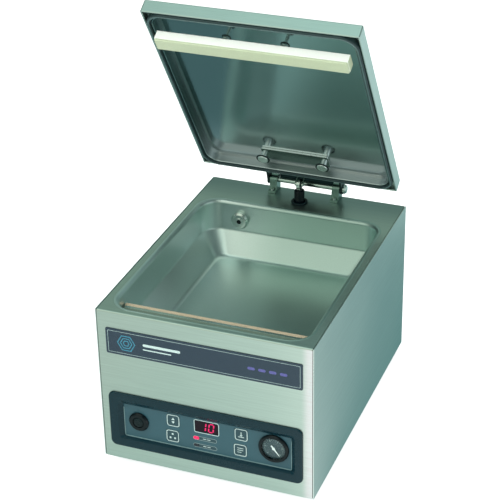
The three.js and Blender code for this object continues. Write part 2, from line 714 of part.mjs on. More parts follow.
// Threaded body behind the face and a round collar in front of it, bored for the button.
function switchCollar() {
  const front = FACE_Y - GAP;
  const profile = [
    [8.6, front - 4.2], [13.9, front - 4.2], [15.5, front - 2.6], [15.5, front], [9, front],
    [9, FACE_Y + 14], [8.6, FACE_Y + 14], [8.6, front - 4.2],
  ];
  return turned(profile, 'y', [SWITCH_PLACE[0], 0, SWITCH_PLACE[1]], 28);
}

function switchButton() {
  const front = FACE_Y - 5.4;
  const profile = [
    [0, front], [4, front + 0.2], [7, front + 1], [8.2, front + 2.4], [8.2, FACE_Y + 10], [0, FACE_Y + 10],
  ];
  return turned(profile, 'y', [SWITCH_PLACE[0], 0, SWITCH_PLACE[1]], 24);
}

function gaugeCase() {
  const front = FACE_Y - GAP;
  const profile = [
    [0, FACE_Y + 24], [0, FACE_Y + 1.2], [18, FACE_Y + 1.2], [18, front - 3.8], [21, front - 3.8],
    [23.2, front - 1.8], [23.2, front], [18.8, front], [18.8, FACE_Y + 22], [17, FACE_Y + 24],
  ];
  return turned([...profile, profile[0]], 'y', [GAUGE_PLACE[0], 0, GAUGE_PLACE[1]], 32);
}

function gaugeDial() {
  return rod(17.7, FACE_Y - 0.3, FACE_Y + 0.9, 'y', [GAUGE_PLACE[0], 0, GAUGE_PLACE[1]], 32);
}

function gaugeNeedle() {
  const blade = polygon([[-6, -1.2], [4, -1.1], [14.5, -0.3], [14.5, 0.3], [4, 1.1], [-6, 1.2]]);
  const needle = slabY(blade, -0.3, 0.3);
  return join(needle, rod(2.2, -0.9, 0.7, 'y', [0, 0, 0], 16));
}

function gaugeLens() {
  const place = [GAUGE_PLACE[0], 0, GAUGE_PLACE[1]];
  return rod(17.7, FACE_Y - 3.8, FACE_Y - 2.7, 'y', place, 32);
}

function badgePlate() {
  const outline = rectangle(-150, 202.5, 149, 245, 2.5);
  return slabY(outline, FRONT_Y - GAP - 0.8, FRONT_Y - GAP, 3);
}

function controlBoard() {
  const board = slabY(centredRect([-5, PANEL_Z + 2], 130, 60), FRONT_Y + 16, FRONT_Y + 17.6);
  const parts = [[-40, 80, 14, 12, 9], [-15, 78, 10, 18, 6], [25, 82, 22, 16, 12], [44, 106, 9, 9, 14]];
  const blocks = parts.map(([x, z, width, height, deep]) => (
    slabY(centredRect([x, z], width, height), FRONT_Y + 17, FRONT_Y + 17.6 + deep)
  ));
  return join(board, ...blocks);
}

// ---------------------------------------------------------------- inside the casing
function vacuumPump() {
  const body = slabX(rectangle(42, PART_BASE + 6, 148, 138, 8), PUMP_X - 52, PUMP_X + 52, 3);
  const leftFoot = box(PUMP_X - 50, 50, PART_BASE, PUMP_X - 30, 140, PART_BASE + 8);
  const rightFoot = box(PUMP_X + 30, 50, PART_BASE, PUMP_X + 50, 140, PART_BASE + 8);
  const separator = rod(22, 130, 164, 'z', [PUMP_X + 18, 88, 0], 20);
  const port = rod(8, 140, 152, 'y', [FITTING_X, 0, PUMP_PORT_Z], 16);
  return join(body, leftFoot, rightFoot, separator, port);
}

function pumpMotor() {
  const ribTop = MOTOR_RADIUS + 2.2;
  const profile = [[0, MOTOR_FRONT_Y], [MOTOR_RADIUS, MOTOR_FRONT_Y]];
  for (let y = MOTOR_FRONT_Y + 8; y < 20; y += 22) {
    profile.push([MOTOR_RADIUS, y], [ribTop, y], [ribTop, y + 11], [MOTOR_RADIUS, y + 11]);
  }
  profile.push([MOTOR_RADIUS, 41.5], [0, 41.5]);
  const body = turned(profile, 'y', [PUMP_X, 0, MOTOR_Z], 12);
  const stand = box(PUMP_X - 34, -70, PART_BASE, PUMP_X + 34, 20, MOTOR_Z - 30);
  const terminal = box(PUMP_X - 20, -50, MOTOR_Z + 38, PUMP_X + 20, 10, MOTOR_Z + 58);
  return join(body, stand, terminal);
}

function motorFan() {
  const hub = rod(11, -6, 6, 'y', [0, 0, 0], 16);
  const blades = [];
  for (let i = 0; i < 7; i++) {
    const blade = box(6, -1.2, -6, 40, 1.2, 6).rotateX(0.6).rotateY((i * Math.PI * 2) / 7);
    blades.push(blade);
  }
  return join(hub, ...blades);
}

function transformer() {
  const core = box(50, 40, PART_BASE, 126, 112, PART_BASE + 64);
  const winding = slabY(rectangle(62, PART_BASE + 12, 114, PART_BASE + 52, 6), 28, 124, 3);
  return join(core, winding);
}

function ventValve() {
  const body = box(50, -70, PART_BASE, 90, -30, PART_BASE + 24);
  const coil = box(54, -66, PART_BASE + 20, 86, -34, PART_BASE + 60);
  const nozzle = rod(6, -30, -18, 'y', [70, 0, PART_BASE + 12], 16);
  return join(body, coil, nozzle);
}

function pumpIntakeHose() {
  const [top, low] = [FITTING_Z, PUMP_PORT_Z];
  const route = new THREE.CatmullRomCurve3([
    [CHAMBER_REAR_Y + 15.4, top], [178, top], [194, top - 10], [200, top - 37], [200, low + 38],
    [193, low + 12], [177, low + 1], [165, low], [152.5, low],
  ].map(([y, z]) => new THREE.Vector3(FITTING_X, y, z)));
  const section = new THREE.Shape().absarc(0, 0, 7, 0, Math.PI * 2, false);
  return new THREE.ExtrudeGeometry(section, { extrudePath: route, steps: 24, curveSegments: 5 });
}

// Mains socket through the rear panel, with its recess open to the rear.
function powerInlet() {
  const [x, z] = INLET_PLACE;
  const flange = slabY(centredRect([x, z], 48, 29, 3), REAR_Y + GAP, REAR_Y + 2.6, 3);
  const body = slabY(centredRect([x, z], 28.2, 20.8, 2), REAR_Y - 22, REAR_Y + 2, 2);
  const recess = slabY(centredRect([x, z], 24.6, 16.6, 3), REAR_Y - 15, REAR_Y + 5, 2);
  const pins = [-7, 0, 7].map((dx) => {
    const pz = z + (dx === 0 ? 2.4 : -1.6);
    return box(x + dx - 1, REAR_Y - 16, pz - 2, x + dx + 1, REAR_Y - 4, pz + 2);
  });
  return join(cut(join(flange, body), recess), ...pins);
}

function exhaustPort() {
  const profile = [
    [6, REAR_Y - 20], [10.2, REAR_Y - 20], [10.2, REAR_Y + GAP], [15, REAR_Y + GAP],
    [15, REAR_Y + 1.8], [13.6, REAR_Y + 2.6], [6, REAR_Y + 2.6], [6, REAR_Y - 20],
  ];
  return turned(profile, 'y', [EXHAUST_PLACE[0], 0, EXHAUST_PLACE[1]], 24);
}

// ---------------------------------------------------------------- assembly
const machine = new THREE.Group();

function add(parent, name, geometry, material) {
  const piece = new THREE.Mesh(closed(geometry), material);
  piece.geometry.computeVertexNormals();
  piece.name = name;
  parent.add(piece);
  return piece;
}

function buildCasing() {
  add(machine, 'front_deck_panel', frontDeckPanel(), brushedSteel);
  add(machine, 'side_panel_left', sidePanel(-1), brushedSteel);
  add(machine, 'side_panel_right', sidePanel(1), brushedSteel);
  add(machine, 'rear_panel', rearPanel(), brushedSteel);
  add(machine, 'base_plate', basePlate(), drawnSteel);
  for (const [side, x] of [['left', -FOOT_X], ['right', FOOT_X]]) {
    add(machine, `foot_front_${side}`, foot(x, -FOOT_Y), blackRubber);
    add(machine, `foot_rear_${side}`, foot(x, FOOT_Y), blackRubber);
  }
}

function buildChamber() {
  add(machine, 'vacuum_chamber', chamber(), drawnSteel);
  add(machine, 'air_fitting', airFitting(), brightSteel);
  for (const [place, x] of [['left', -PISTON_X], ['right', PISTON_X]]) {
    add(machine, `piston_cylinder_${place}`, pistonCylinder(x), brightSteel);
    add(machine, `seal_piston_${place}`, sealPiston(x), brightSteel);
  }
  add(machine, 'seal_bar_body', sealBarBody(), metal(0x9aa6a6, 0.4));
  add(machine, 'seal_wire', sealWire(), metal(0x8a8078, 0.4));
  add(machine, 'seal_tape', sealTape(), plastic(0xb98a63, 0.55));
}

function buildLid() {
  const hinge = new THREE.Group();
  hinge.position.set(0, PIVOT_Y, PIVOT_Z);
  hinge.rotation.x = -LID_OPEN_ANGLE;
  const lid = new THREE.Group();
  lid.position.set(0, -PIVOT_Y, -PIVOT_Z);
  hinge.add(lid);
  machine.add(hinge);
  add(lid, 'lid_shell', lidShell(), brushedSteel);
  add(lid, 'lid_inner_pan', lidInnerPan(), drawnSteel);
  add(lid, 'lid_gasket', lidGasket(), blackRubber);
  add(lid, 'counter_bar_holder', counterBarHolder(), plastic(0xf1f4ea, 0.45));
  add(lid, 'counter_bar_silicone', counterBarSilicone(), plastic(0xc3cba0, 0.6));
  add(lid, 'lid_hinge_plate', lidHingePlate(), brushedSteel);
  add(lid, 'lid_backing_plate', lidBackingPlate(), drawnSteel);
  add(lid, 'strut_pin', strutPin(), brightSteel);
  for (const [place, side] of [['left', -1], ['right', 1]]) {
    add(lid, `counter_bar_post_${place}`, counterBarPost(side * COUNTER_POST_X), brightSteel);
    add(lid, `lid_bolt_${place}`, lidBolt(LID_BOLT_X[place]), brightSteel);
  }
}

function buildHinge() {
  add(machine, 'hinge_bracket_left', hingeBracket(-1), brightSteel);
  add(machine, 'hinge_bracket_right', hingeBracket(1), brightSteel);
  add(machine, 'hinge_axle', hingeAxle(), brightSteel);
  add(machine, 'strut_grommet', strutGrommet(), blackRubber);
  add(machine, 'strut_tube', strutTube(), plastic(0x15191c, 0.35));
  add(machine, 'strut_rod', strutRod(), brightSteel);
  add(machine, 'strut_anchor', strutAnchor(), drawnSteel);
}

function buildControls() {
  add(machine, 'badge_plate', badgePlate(), navyPlate);
  add(machine, 'control_bezel', controlBezel(), darkMoulding);
  add(machine, 'membrane_panel', membranePanel(), faceFilm);
  add(machine, 'display_module', displayModule(), plastic(0x2c0b0c, 0.2));
  for (const [name, place] of Object.entries(KEY_PLACES)) add(machine, name, key(place), faceFilm);
  add(machine, 'switch_collar', switchCollar(), darkMoulding);
  add(machine, 'switch_button', switchButton(), blackRubber);
  add(machine, 'gauge_case', gaugeCase(), darkMoulding);
  add(machine, 'gauge_dial', gaugeDial(), plastic(0x1b2a2e, 0.6));
  const needle = add(machine, 'gauge_needle', gaugeNeedle(), plastic(0xf2f4ee, 0.4));
  needle.position.set(GAUGE_PLACE[0], FACE_Y - 1.4, GAUGE_PLACE[1]);
  needle.rotation.y = -GAUGE_REST_ANGLE;
  const glass = plastic(0xe8f0f0, 0.05);
  glass.transparent = true;
  glass.opacity = 0.3;
  add(machine, 'gauge_lens', gaugeLens(), glass);
  add(machine, 'control_board', controlBoard(), plastic(0x1f5a3a, 0.5));
}

function buildInside() {
  add(machine, 'vacuum_pump', vacuumPump(), metal(0x7c8a90, 0.6));
  add(machine, 'pump_motor', pumpMotor(), metal(0x6d7a80, 0.6));
  const fan = add(machine, 'motor_fan', motorFan(), plastic(0x202426, 0.5));
  fan.position.set(PUMP_X, MOTOR_FRONT_Y - 8, MOTOR_Z);
  add(machine, 'pump_intake_hose', pumpIntakeHose(), blackRubber);
  add(machine, 'transformer', transformer(), metal(0x5c5f60, 0.7));
  add(machine, 'vent_valve', ventValve(), metal(0xb59a55, 0.4));
  add(machine, 'power_inlet', powerInlet(), blackRubber);
  add(machine, 'exhaust_port', exhaustPort(), plastic(0x1d2224, 0.5));
}

buildCasing();
buildChamber();
buildLid();
buildHinge();
buildControls();
buildInside();

export default machine;
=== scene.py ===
"""The looks of a tabletop vacuum chamber sealer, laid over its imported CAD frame.

Shapes are written in millimetres in the row frame and become metres when a piece is made.
Lid pieces are drawn with the lid shut and then turned open about the hinge.
"""

import json
import math

import bmesh
import bpy
from mathutils import Matrix, Vector


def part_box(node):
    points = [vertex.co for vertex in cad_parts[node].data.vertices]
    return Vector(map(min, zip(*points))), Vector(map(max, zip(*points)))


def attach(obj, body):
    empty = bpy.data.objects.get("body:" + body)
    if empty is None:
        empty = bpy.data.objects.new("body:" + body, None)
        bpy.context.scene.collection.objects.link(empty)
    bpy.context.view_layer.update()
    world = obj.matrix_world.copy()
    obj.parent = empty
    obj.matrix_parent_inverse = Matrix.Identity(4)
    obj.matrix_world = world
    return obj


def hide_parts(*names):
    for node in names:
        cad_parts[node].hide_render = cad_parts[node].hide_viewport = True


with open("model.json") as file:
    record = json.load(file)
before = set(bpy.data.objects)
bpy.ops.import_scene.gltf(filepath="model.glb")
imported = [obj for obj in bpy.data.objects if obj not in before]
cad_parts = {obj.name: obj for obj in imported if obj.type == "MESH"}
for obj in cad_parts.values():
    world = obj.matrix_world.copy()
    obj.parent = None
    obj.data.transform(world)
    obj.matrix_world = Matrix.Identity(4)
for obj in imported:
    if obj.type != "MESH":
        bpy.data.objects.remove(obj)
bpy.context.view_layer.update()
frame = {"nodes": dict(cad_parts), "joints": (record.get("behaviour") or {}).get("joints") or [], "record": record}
record = frame["record"]

MM = 0.001
BODY_OF = {n: body for body, nodes in record["behaviour"]["bodies"].items() for n in nodes}
JOINTS = {joint["name"]: joint for joint in frame["joints"]}

PIVOT = Vector(JOINTS["lid_hinge"]["pos_m"])
LID_ANGLE = math.radians(JOINTS["lid_hinge"]["range_deg"][1])
OPEN = Matrix.Translation(PIVOT) @ Matrix.Rotation(-LID_ANGLE, 4, "X") @ Matrix.Translation(-PIVOT)
SHUT = OPEN.inverted()


# ---------------------------------------------------------------- measuring the frame
def node_box(node):
    """A node's lowest and highest corners at rest, in millimetres."""
    low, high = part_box(node)
    return low / MM, high / MM


def shut_box(node):
    """The same for a lid node, with the lid turned shut."""
    points = [SHUT @ v.co for v in frame["nodes"][node].data.vertices]
    low = Vector(min(p[i] for p in points) for i in range(3))
    high = Vector(max(p[i] for p in points) for i in range(3))
    return low / MM, high / MM


def middle(node):
    low, high = node_box(node)
    return (low + high) / 2


# ---------------------------------------------------------------- outlines
def rounded(x0, y0, x1, y1, r, steps=10):
    """Corners of a rounded rectangle, anticlockwise from the lower right."""
    points = []
    centres = ((x1 - r, y0 + r), (x1 - r, y1 - r), (x0 + r, y1 - r), (x0 + r, y0 + r))
    for (cx, cy), start in zip(centres, (-90, 0, 90, 180)):
        for i in range(steps + 1):
            a = math.radians(start + 90 * i / steps)
            points.append((cx + r * math.cos(a), cy + r * math.sin(a)))
    return points


def centred(cx, cy, width, height, r, steps=8):
    return rounded(cx - width / 2, cy - height / 2, cx + width / 2, cy + height / 2, r, steps)


def circle(cx, cy, r, steps=48):
    return [
        (cx + r * math.cos(2 * math.pi * i / steps), cy + r * math.sin(2 * math.pi * i / steps))
        for i in range(steps)
    ]


def filleted(points, steps=6):
    """An open profile of (u, v, radius) points with its inner corners rounded."""
    out = [points[0][:2]]
    for before, here, after in zip(points, points[1:], points[2:]):
        p, r = Vector(here[:2]), here[2]
        a, b = (Vector(before[:2]) - p).normalized(), (Vector(after[:2]) - p).normalized()
        half = a.angle(b) / 2
        if r <= 0 or half > math.pi / 2 - 1e-3:
            out.append(tuple(p))
            continue
        centre = p + (a + b).normalized() * (r / math.sin(half))
        start, end = p + a * (r / math.tan(half)) - centre, p + b * (r / math.tan(half)) - centre
        sweep = start.angle_signed(end)
        for i in range(steps + 1):
            turn = -sweep * i / steps
            c, s = math.cos(turn), math.sin(turn)
            out.append((centre.x + start.x * c - start.y * s, centre.y + start.x * s + start.y * c))
    out.append(points[-1][:2])
    return out


# ---------------------------------------------------------------- mesh parts, added to a bmesh
def add_loops(bm, loops, cap_first=False, cap_last=False, ring=False, mat=0):
    """Quads through a stack of closed loops of points; ring joins the last loop to the first."""
    rows = [[bm.verts.new(p) for p in loop] for loop in loops]
    pairs = list(zip(rows, rows[1:])) + ([(rows[-1], rows[0])] if ring else [])
    corners = []
    for low, high in pairs:
        for i in range(len(low)):
            j = (i + 1) % len(low)
            corners.append((low[i], low[j], high[j], high[i]))
    if cap_first:
        corners.append(rows[0][::-1])
    if cap_last:
        corners.append(rows[-1])
    for face in corners:
        bm.faces.new(face).material_index = mat


AXES = {
    "x": Matrix(((0, 0, 1), (1, 0, 0), (0, 1, 0))),
    "y": Matrix(((0, 1, 0), (0, 0, 1), (1, 0, 0))),
    "z": Matrix(((1, 0, 0), (0, 1, 0), (0, 0, 1))),
}


def add_lathe(bm, profile, axis, centre, segments=64, mat=0):
    """A profile of (radius, height) points turned about a line through centre."""
    turn, place = AXES[axis], Vector(centre)
    rings = [(circle(0, 0, max(r, 1e-3), segments), h) for r, h in profile]
    add_loops(bm, [[place + turn @ Vector((x, y, h)) for x, y in ring] for ring, h in rings], mat=mat)


def on_plane(axis, u, v, depth):
    """A point of an outline drawn across an axis: x takes (y, z), y takes (x, z), z takes (x, y)."""
    return {"x": (depth, u, v), "y": (u, depth, v), "z": (u, v, depth)}[axis]


def add_prism(bm, outline, axis, a, b):
    add_loops(bm, [[on_plane(axis, u, v, d) for u, v in outline] for d in (a, b)], True, True)


def add_frame(bm, outer, inner, axis, a, b):
    """A flat frame between two outlines with as many points each."""
    lines = ((outer, a), (outer, b), (inner, b), (inner, a))
    add_loops(bm, [[on_plane(axis, u, v, d) for u, v in line] for line, d in lines], ring=True)


def add_sheet(bm, outer, holes, axis, depth):
    """A flat sheet with holes, as triangles."""
    edges = []
    for line in (outer, *holes):
        verts = [bm.verts.new(on_plane(axis, u, v, depth)) for u, v in line]
        edges += [bm.edges.new((verts[i], verts[(i + 1) % len(verts)])) for i in range(len(verts))]
    bmesh.ops.triangle_fill(bm, use_beauty=True, edges=edges)


def paint(bm, choose):
    """Gives each face the material whose number choose finds for it."""
    bm.normal_update()
    for face in bm.faces:
        face.material_index = int(choose(face))


# ---------------------------------------------------------------- making pieces
def placed(name, data):
    obj = bpy.data.objects.new(name, data)
    bpy.context.scene.collection.objects.link(obj)
    return obj


def make(bm, name, materials, node=None, lid=False, facing=None, weld=2e-3, **options):
    """Turns a bmesh in millimetres into a piece; lid says that it is drawn with the lid shut.

    facing is a direction that the front of an open sheet points to.
    """
    bmesh.ops.remove_doubles(bm, verts=bm.verts, dist=weld)
    bmesh.ops.dissolve_degenerate(bm, edges=bm.edges, dist=1e-4)
    bmesh.ops.recalc_face_normals(bm, faces=bm.faces)
    if facing:
        aim = Vector(facing)
        bm.normal_update()
        if sum(f.normal.dot(aim) * f.calc_area() for f in bm.faces) < 0:
            bmesh.ops.reverse_faces(bm, faces=bm.faces)
    bmesh.ops.scale(bm, vec=(MM, MM, MM), verts=bm.verts)
    if lid:
        bmesh.ops.transform(bm, matrix=OPEN, verts=bm.verts)
    mesh = bpy.data.meshes.new(name)
    bm.to_mesh(mesh)
    bm.free()
    return dress(mesh, name, materials, node, **options)


def dress(
    mesh, name, materials, node, also=(), body=None, slot=None, bevel=0.0, segments=2, solid=0.0, crease=38
):
    """Makes a mesh a piece that rides on its body and stands for its nodes.

    solid is the thickness that an open sheet is given behind its front.
    """
    mesh.polygons.foreach_set("use_smooth", [True] * len(mesh.polygons))
    mesh.set_sharp_from_angle(angle=math.radians(crease))
    obj = placed(name, mesh)
    for material in materials if isinstance(materials, (list, tuple)) else [materials]:
        mesh.materials.append(material)
    if solid:
        thick = obj.modifiers.new("thickness", "SOLIDIFY")
        thick.thickness, thick.offset, thick.use_even_offset = solid * MM, -1, True
    if bevel:
        edge = obj.modifiers.new("edges", "BEVEL")
        edge.width, edge.segments, edge.limit_method = bevel * MM, segments, "ANGLE"
        edge.angle_limit = math.radians(crease)
        edge.harden_normals = True
    normals = obj.modifiers.new("normals", "WEIGHTED_NORMAL")
    normals.keep_sharp = True
    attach(obj, body or BODY_OF[node])
    if node:
        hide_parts(node, *also)
    return obj


def turned(name, material, node, profile, axis, place, segments=64, **options):
    """A piece turned about a line through place."""
    bm = bmesh.new()
    add_lathe(bm, profile, axis, place, segments)
    return make(bm, name, material, node, **options)


def refined(node, materials, bevel=0.5, segments=2):
    """A finer copy of a node: its corners welded and its edges rounded."""
    name = f"{node}_fine"
    bm = bmesh.new()
    bm.from_mesh(frame["nodes"][node].data)
    bmesh.ops.remove_doubles(bm, verts=bm.verts, dist=1e-6)
    bmesh.ops.recalc_face_normals(bm, faces=bm.faces)
    paint(bm, lambda face: 0)
    mesh = bpy.data.meshes.new(name)
    bm.to_mesh(mesh)
    bm.free()
    return dress(mesh, name, materials, node, bevel=bevel, segments=segments)


# ---------------------------------------------------------------- materials
def shade(colour, factor):
    return tuple(min(1.0, c * factor) for c in colour) + (1.0,)


def gradient(nodes, links, vector, direction, start, end):
    """Rises smoothly from 0 to 1 as a vector's reach along a direction goes from start to end."""
    along = nodes.new("ShaderNodeVectorMath")
    along.operation = "DOT_PRODUCT"
    along.inputs[1].default_value = direction
    links.new(vector, along.inputs[0])
    share = nodes.new("ShaderNodeMapRange")
    share.interpolation_type = "SMOOTHSTEP"
    share.inputs["From Min"].default_value, share.inputs["From Max"].default_value = start, end
    links.new(along.outputs["Value"], share.inputs["Value"])
    return share.outputs["Result"]


def glow_sum(nodes, links, vector, glows):
    """The sum of glows, each a (direction, start, end, colour) that rises along its direction."""
    total = None
    for direction, start, end, colour in glows:
        part = nodes.new("ShaderNodeVectorMath")
        part.operation = "MULTIPLY_ADD"
        part.inputs[1].default_value = colour
        links.new(gradient(nodes, links, vector, direction, start, end), part.inputs[0])
        if total:
            links.new(total, part.inputs[2])
        total = part.outputs["Vector"]
    return total


def surface(
    name,
    colour,
    roughness,
    metallic=0.0,
    grain=(1, 1, 1),
    scale=400.0,
    tint=0.06,
    spread=0.06,
    bump=0.1,
    depth=0.05,
    broad=7.0,
    patch=0.05,
    painted_light_and_shade=None,
    **sockets,
):
    """A procedural finish: a fine grain and broad patches vary its colour, roughness and height.

    Its (direction, start, end, factor) argument changes the colour slowly along the piece: painted light and
    shade, the piece drawn lighter or darker where light falls on it.
    """
    mat = bpy.data.materials.new(name)
    mat.use_nodes = True
    tree = mat.node_tree
    nodes, links = tree.nodes, tree.links
    shader = nodes["Principled BSDF"]
    shader.inputs["Metallic"].default_value = metallic
    for key, value in sockets.items():
        shader.inputs[key.replace("_", " ")].default_value = value
    coords = nodes.new("ShaderNodeTexCoord")
    mapping = nodes.new("ShaderNodeMapping")
    mapping.inputs["Scale"].default_value = grain
    links.new(coords.outputs["Object"], mapping.inputs["Vector"])
    fine = nodes.new("ShaderNodeTexNoise")
    fine.inputs["Scale"].default_value = scale
    fine.inputs["Detail"].default_value = 5.0
    links.new(mapping.outputs["Vector"], fine.inputs["Vector"])
    wide = nodes.new("ShaderNodeTexNoise")
    wide.inputs["Scale"].default_value = broad
    wide.inputs["Detail"].default_value = 3.0
    links.new(coords.outputs["Object"], wide.inputs["Vector"])
    ramp = nodes.new("ShaderNodeValToRGB")
    ramp.color_ramp.elements[0].position, ramp.color_ramp.elements[1].position = 0.3, 0.7
    ramp.color_ramp.elements[0].color = shade(colour, 1 - tint)
    ramp.color_ramp.elements[1].color = shade(colour, 1 + tint)
    links.new(fine.outputs["Fac"], ramp.inputs["Fac"])
    blotch = nodes.new("ShaderNodeMapRange")
    blotch.inputs["To Min"].default_value = 1 - patch
    blotch.inputs["To Max"].default_value = 1 + patch
    links.new(wide.outputs["Fac"], blotch.inputs["Value"])
    tone = nodes.new("ShaderNodeVectorMath")
    tone.operation = "SCALE"
    links.new(ramp.outputs["Color"], tone.inputs[0])
    links.new(blotch.outputs["Result"], tone.inputs["Scale"])
    # painted light and shade: the colour scaled towards factor along direction
    if painted_light_and_shade:
        direction, start, end, factor = painted_light_and_shade
        share = gradient(nodes, links, coords.outputs["Object"], direction, start, end)
        change = nodes.new("ShaderNodeVectorMath")
        change.operation = "MULTIPLY_ADD"
        change.inputs[1].default_value = [value - 1 for value in factor]
        change.inputs[2].default_value = (1, 1, 1)
        links.new(share, change.inputs[0])
        plain, tone = tone, nodes.new("ShaderNodeVectorMath")
        tone.operation = "MULTIPLY"
        links.new(plain.outputs["Vector"], tone.inputs[0])
        links.new(change.outputs["Vector"], tone.inputs[1])
    links.new(tone.outputs["Vector"], shader.inputs["Base Color"])
    both = nodes.new("ShaderNodeMath")
    both.operation = "MULTIPLY_ADD"
    both.inputs[1].default_value = 0.5
    links.new(fine.outputs["Fac"], both.inputs[0])
    links.new(wide.outputs["Fac"], both.inputs[2])
    rough = nodes.new("ShaderNodeMapRange")
    rough.inputs["From Min"].default_value, rough.inputs["From Max"].default_value = 0.4, 1.1
    rough.inputs["To Min"].default_value = max(0.02, roughness - spread)
    rough.inputs["To Max"].default_value = roughness + spread
    links.new(both.outputs["Value"], rough.inputs["Value"])
    links.new(rough.outputs["Result"], shader.inputs["Roughness"])
    relief = nodes.new("ShaderNodeBump")
    relief.inputs["Strength"].default_value = bump
    relief.inputs["Distance"].default_value = depth * MM
    links.new(fine.outputs["Fac"], relief.inputs["Height"])
    links.new(relief.outputs["Normal"], shader.inputs["Normal"])
    return mat


def woven(name, colour, roughness, pitch=0.9):
    """Two crossed sets of threads over the plain finish."""
    mat = surface(name, colour, roughness, scale=900, tint=0.12, bump=0.1)
    nodes, links = mat.node_tree.nodes, mat.node_tree.links
    coords = next(n for n in nodes if n.type == "TEX_COORD")
    relief = next(n for n in nodes if n.type == "BUMP")
    waves = []
    for direction in ("X", "Y"):
        wave = nodes.new("ShaderNodeTexWave")
        wave.bands_direction = direction
        wave.inputs["Scale"].default_value = 0.314 / (pitch * MM)
        links.new(coords.outputs["Object"], wave.inputs["Vector"])
        waves.append(wave)
    cross = nodes.new("ShaderNodeMath")
    cross.operation = "MULTIPLY"
    links.new(waves[0].outputs["Fac"], cross.inputs[0])
    links.new(waves[1].outputs["Fac"], cross.inputs[1])
    links.new(cross.outputs["Value"], relief.inputs["Height"])
    relief.inputs["Strength"].default_value = 0.35
    return mat


def glowing(name, colour, strength):
    mat = surface(name, colour, 0.3, scale=500, tint=0.15, bump=0.02)
    nodes, links = mat.node_tree.nodes, mat.node_tree.links
    shader = nodes["Principled BSDF"]
    tone = next(n for n in nodes if n.type == "VECT_MATH")
    links.new(tone.outputs["Vector"], shader.inputs["Emission Color"])
    shader.inputs["Emission Strength"].default_value = strength
    return mat


STEEL = (0.68, 0.77, 0.715)
ALONG_X, ALONG_Y = (0.02, 1, 1), (1, 0.02, 1)
SHEEN = {"Specular_IOR_Level": 0.36}
FAINT_SHEEN = {"Specular_IOR_Level": 0.3}
# the lid pan drawn lighter towards its low end by the hinge: painted light
PAN_PAINTED_LIGHT = ((0, 0, -1), -0.44, -0.31, (2.7, 2.1, 2.1))
# deck steel, drawn darker towards the rear edge of the deck: painted shade
brushed_painted_shade = surface("brushed_steel", STEEL, 0.33, 1, ALONG_X, 700, 0.05, 0.05, 0.09, 0.015, 6, 0.03,
                  painted_light_and_shade=((0, 1, 0), 0.13, 0.22, (0.52, 0.58, 0.62)))
# front steel, drawn lighter in a band along the right edge: painted highlight
front_steel_painted_highlight = surface("front_steel_painted_highlight", STEEL, 0.33, 1, ALONG_X, 700, 0.05, 0.05, 0.09, 0.015, 6, 0.03,
                      painted_light_and_shade=((1, 0, 0), 0.145, 0.159, (1.5, 1.22, 1.36)))
hinge_steel = surface("hinge_steel", (0.3, 0.42, 0.37), 0.3, 1, (1, 1, 1), 600, 0.06, 0.05, 0.06, 0.01)
dark_steel = surface("dark_steel", (0.05, 0.075, 0.08), 0.35, 1, ALONG_X, 600, 0.1, 0.05, 0.06, 0.01)
side_steel = surface("side_steel", (0.66, 0.77, 0.74), 0.35, 1, ALONG_Y, 700, 0.045, 0.05, 0.09, 0.015, 6, 0.04)
lid_steel = surface("lid_steel", (0.68, 0.79, 0.755), 0.32, 1, ALONG_X, 700, 0.045, 0.05, 0.08, 0.015, 18, 0.07)
# pale steel: the hinge screws' own finish, and a painted highlight on the thin edges of the side sheets and
# backing plate
edge_steel_and_painted_highlight = surface("pale_steel_and_painted_edge_highlight", (0.92, 0.97, 0.95), 0.3, 1, scale=500, tint=0.04, bump=0.03)
# chamber tray steel, drawn lighter towards the left: painted light
tray_steel_painted_light = surface("tray_steel_painted_light", (0.60, 0.74, 0.70), 0.34, 1, (1, 1, 1), 700, 0.03, 0.05, 0.03, 0.004, 9, 0.05,
                     painted_light_and_shade=((-1, 0, 0), 0.0, 0.11, (1.4, 1.27, 1.32)))
# lid pan steel, carrying the painted light above
pan_steel_painted_light = surface("pan_steel_painted_light", (0.30, 0.40, 0.415), 0.15, 1, (1, 1, 1), 700, 0.02, 0.04, 0.02, 0.003, 8, 0.06,
                    painted_light_and_shade=PAN_PAINTED_LIGHT)
# pan walls: a darker copy of the pan steel, painted shade
wall_steel_painted_shade = surface("pan_wall_steel", (0.22, 0.30, 0.31), 0.42, 1, (1, 1, 1), 700, 0.02, 0.04, 0.02, 0.003, 8,
                     0.06, painted_light_and_shade=PAN_PAINTED_LIGHT)
plate_steel = surface("plate_steel", (0.13, 0.2, 0.18), 0.26, 1, ALONG_X, 700, 0.05, 0.05, 0.05, 0.01)
bright = surface("bright_steel", (0.72, 0.8, 0.76), 0.18, 1, scale=600, tint=0.03, spread=0.05, bump=0.02,
                 depth=0.01)
dull = surface("dull_steel", (0.45, 0.55, 0.51), 0.38, 1, scale=500, tint=0.05, bump=0.08)
alu = surface("extruded_aluminium", (0.45, 0.52, 0.5), 0.36, 1, ALONG_X, 800, 0.06, 0.05, 0.1, 0.02)
rubber = surface("black_rubber", (0.003, 0.011, 0.013), 0.4, scale=900, tint=0.2, bump=0.2, depth=0.03,
                 **FAINT_SHEEN)
seal_rubber = surface("seal_rubber", (0.012, 0.028, 0.03), 0.4, scale=700, tint=0.2, bump=0.1, depth=0.02)
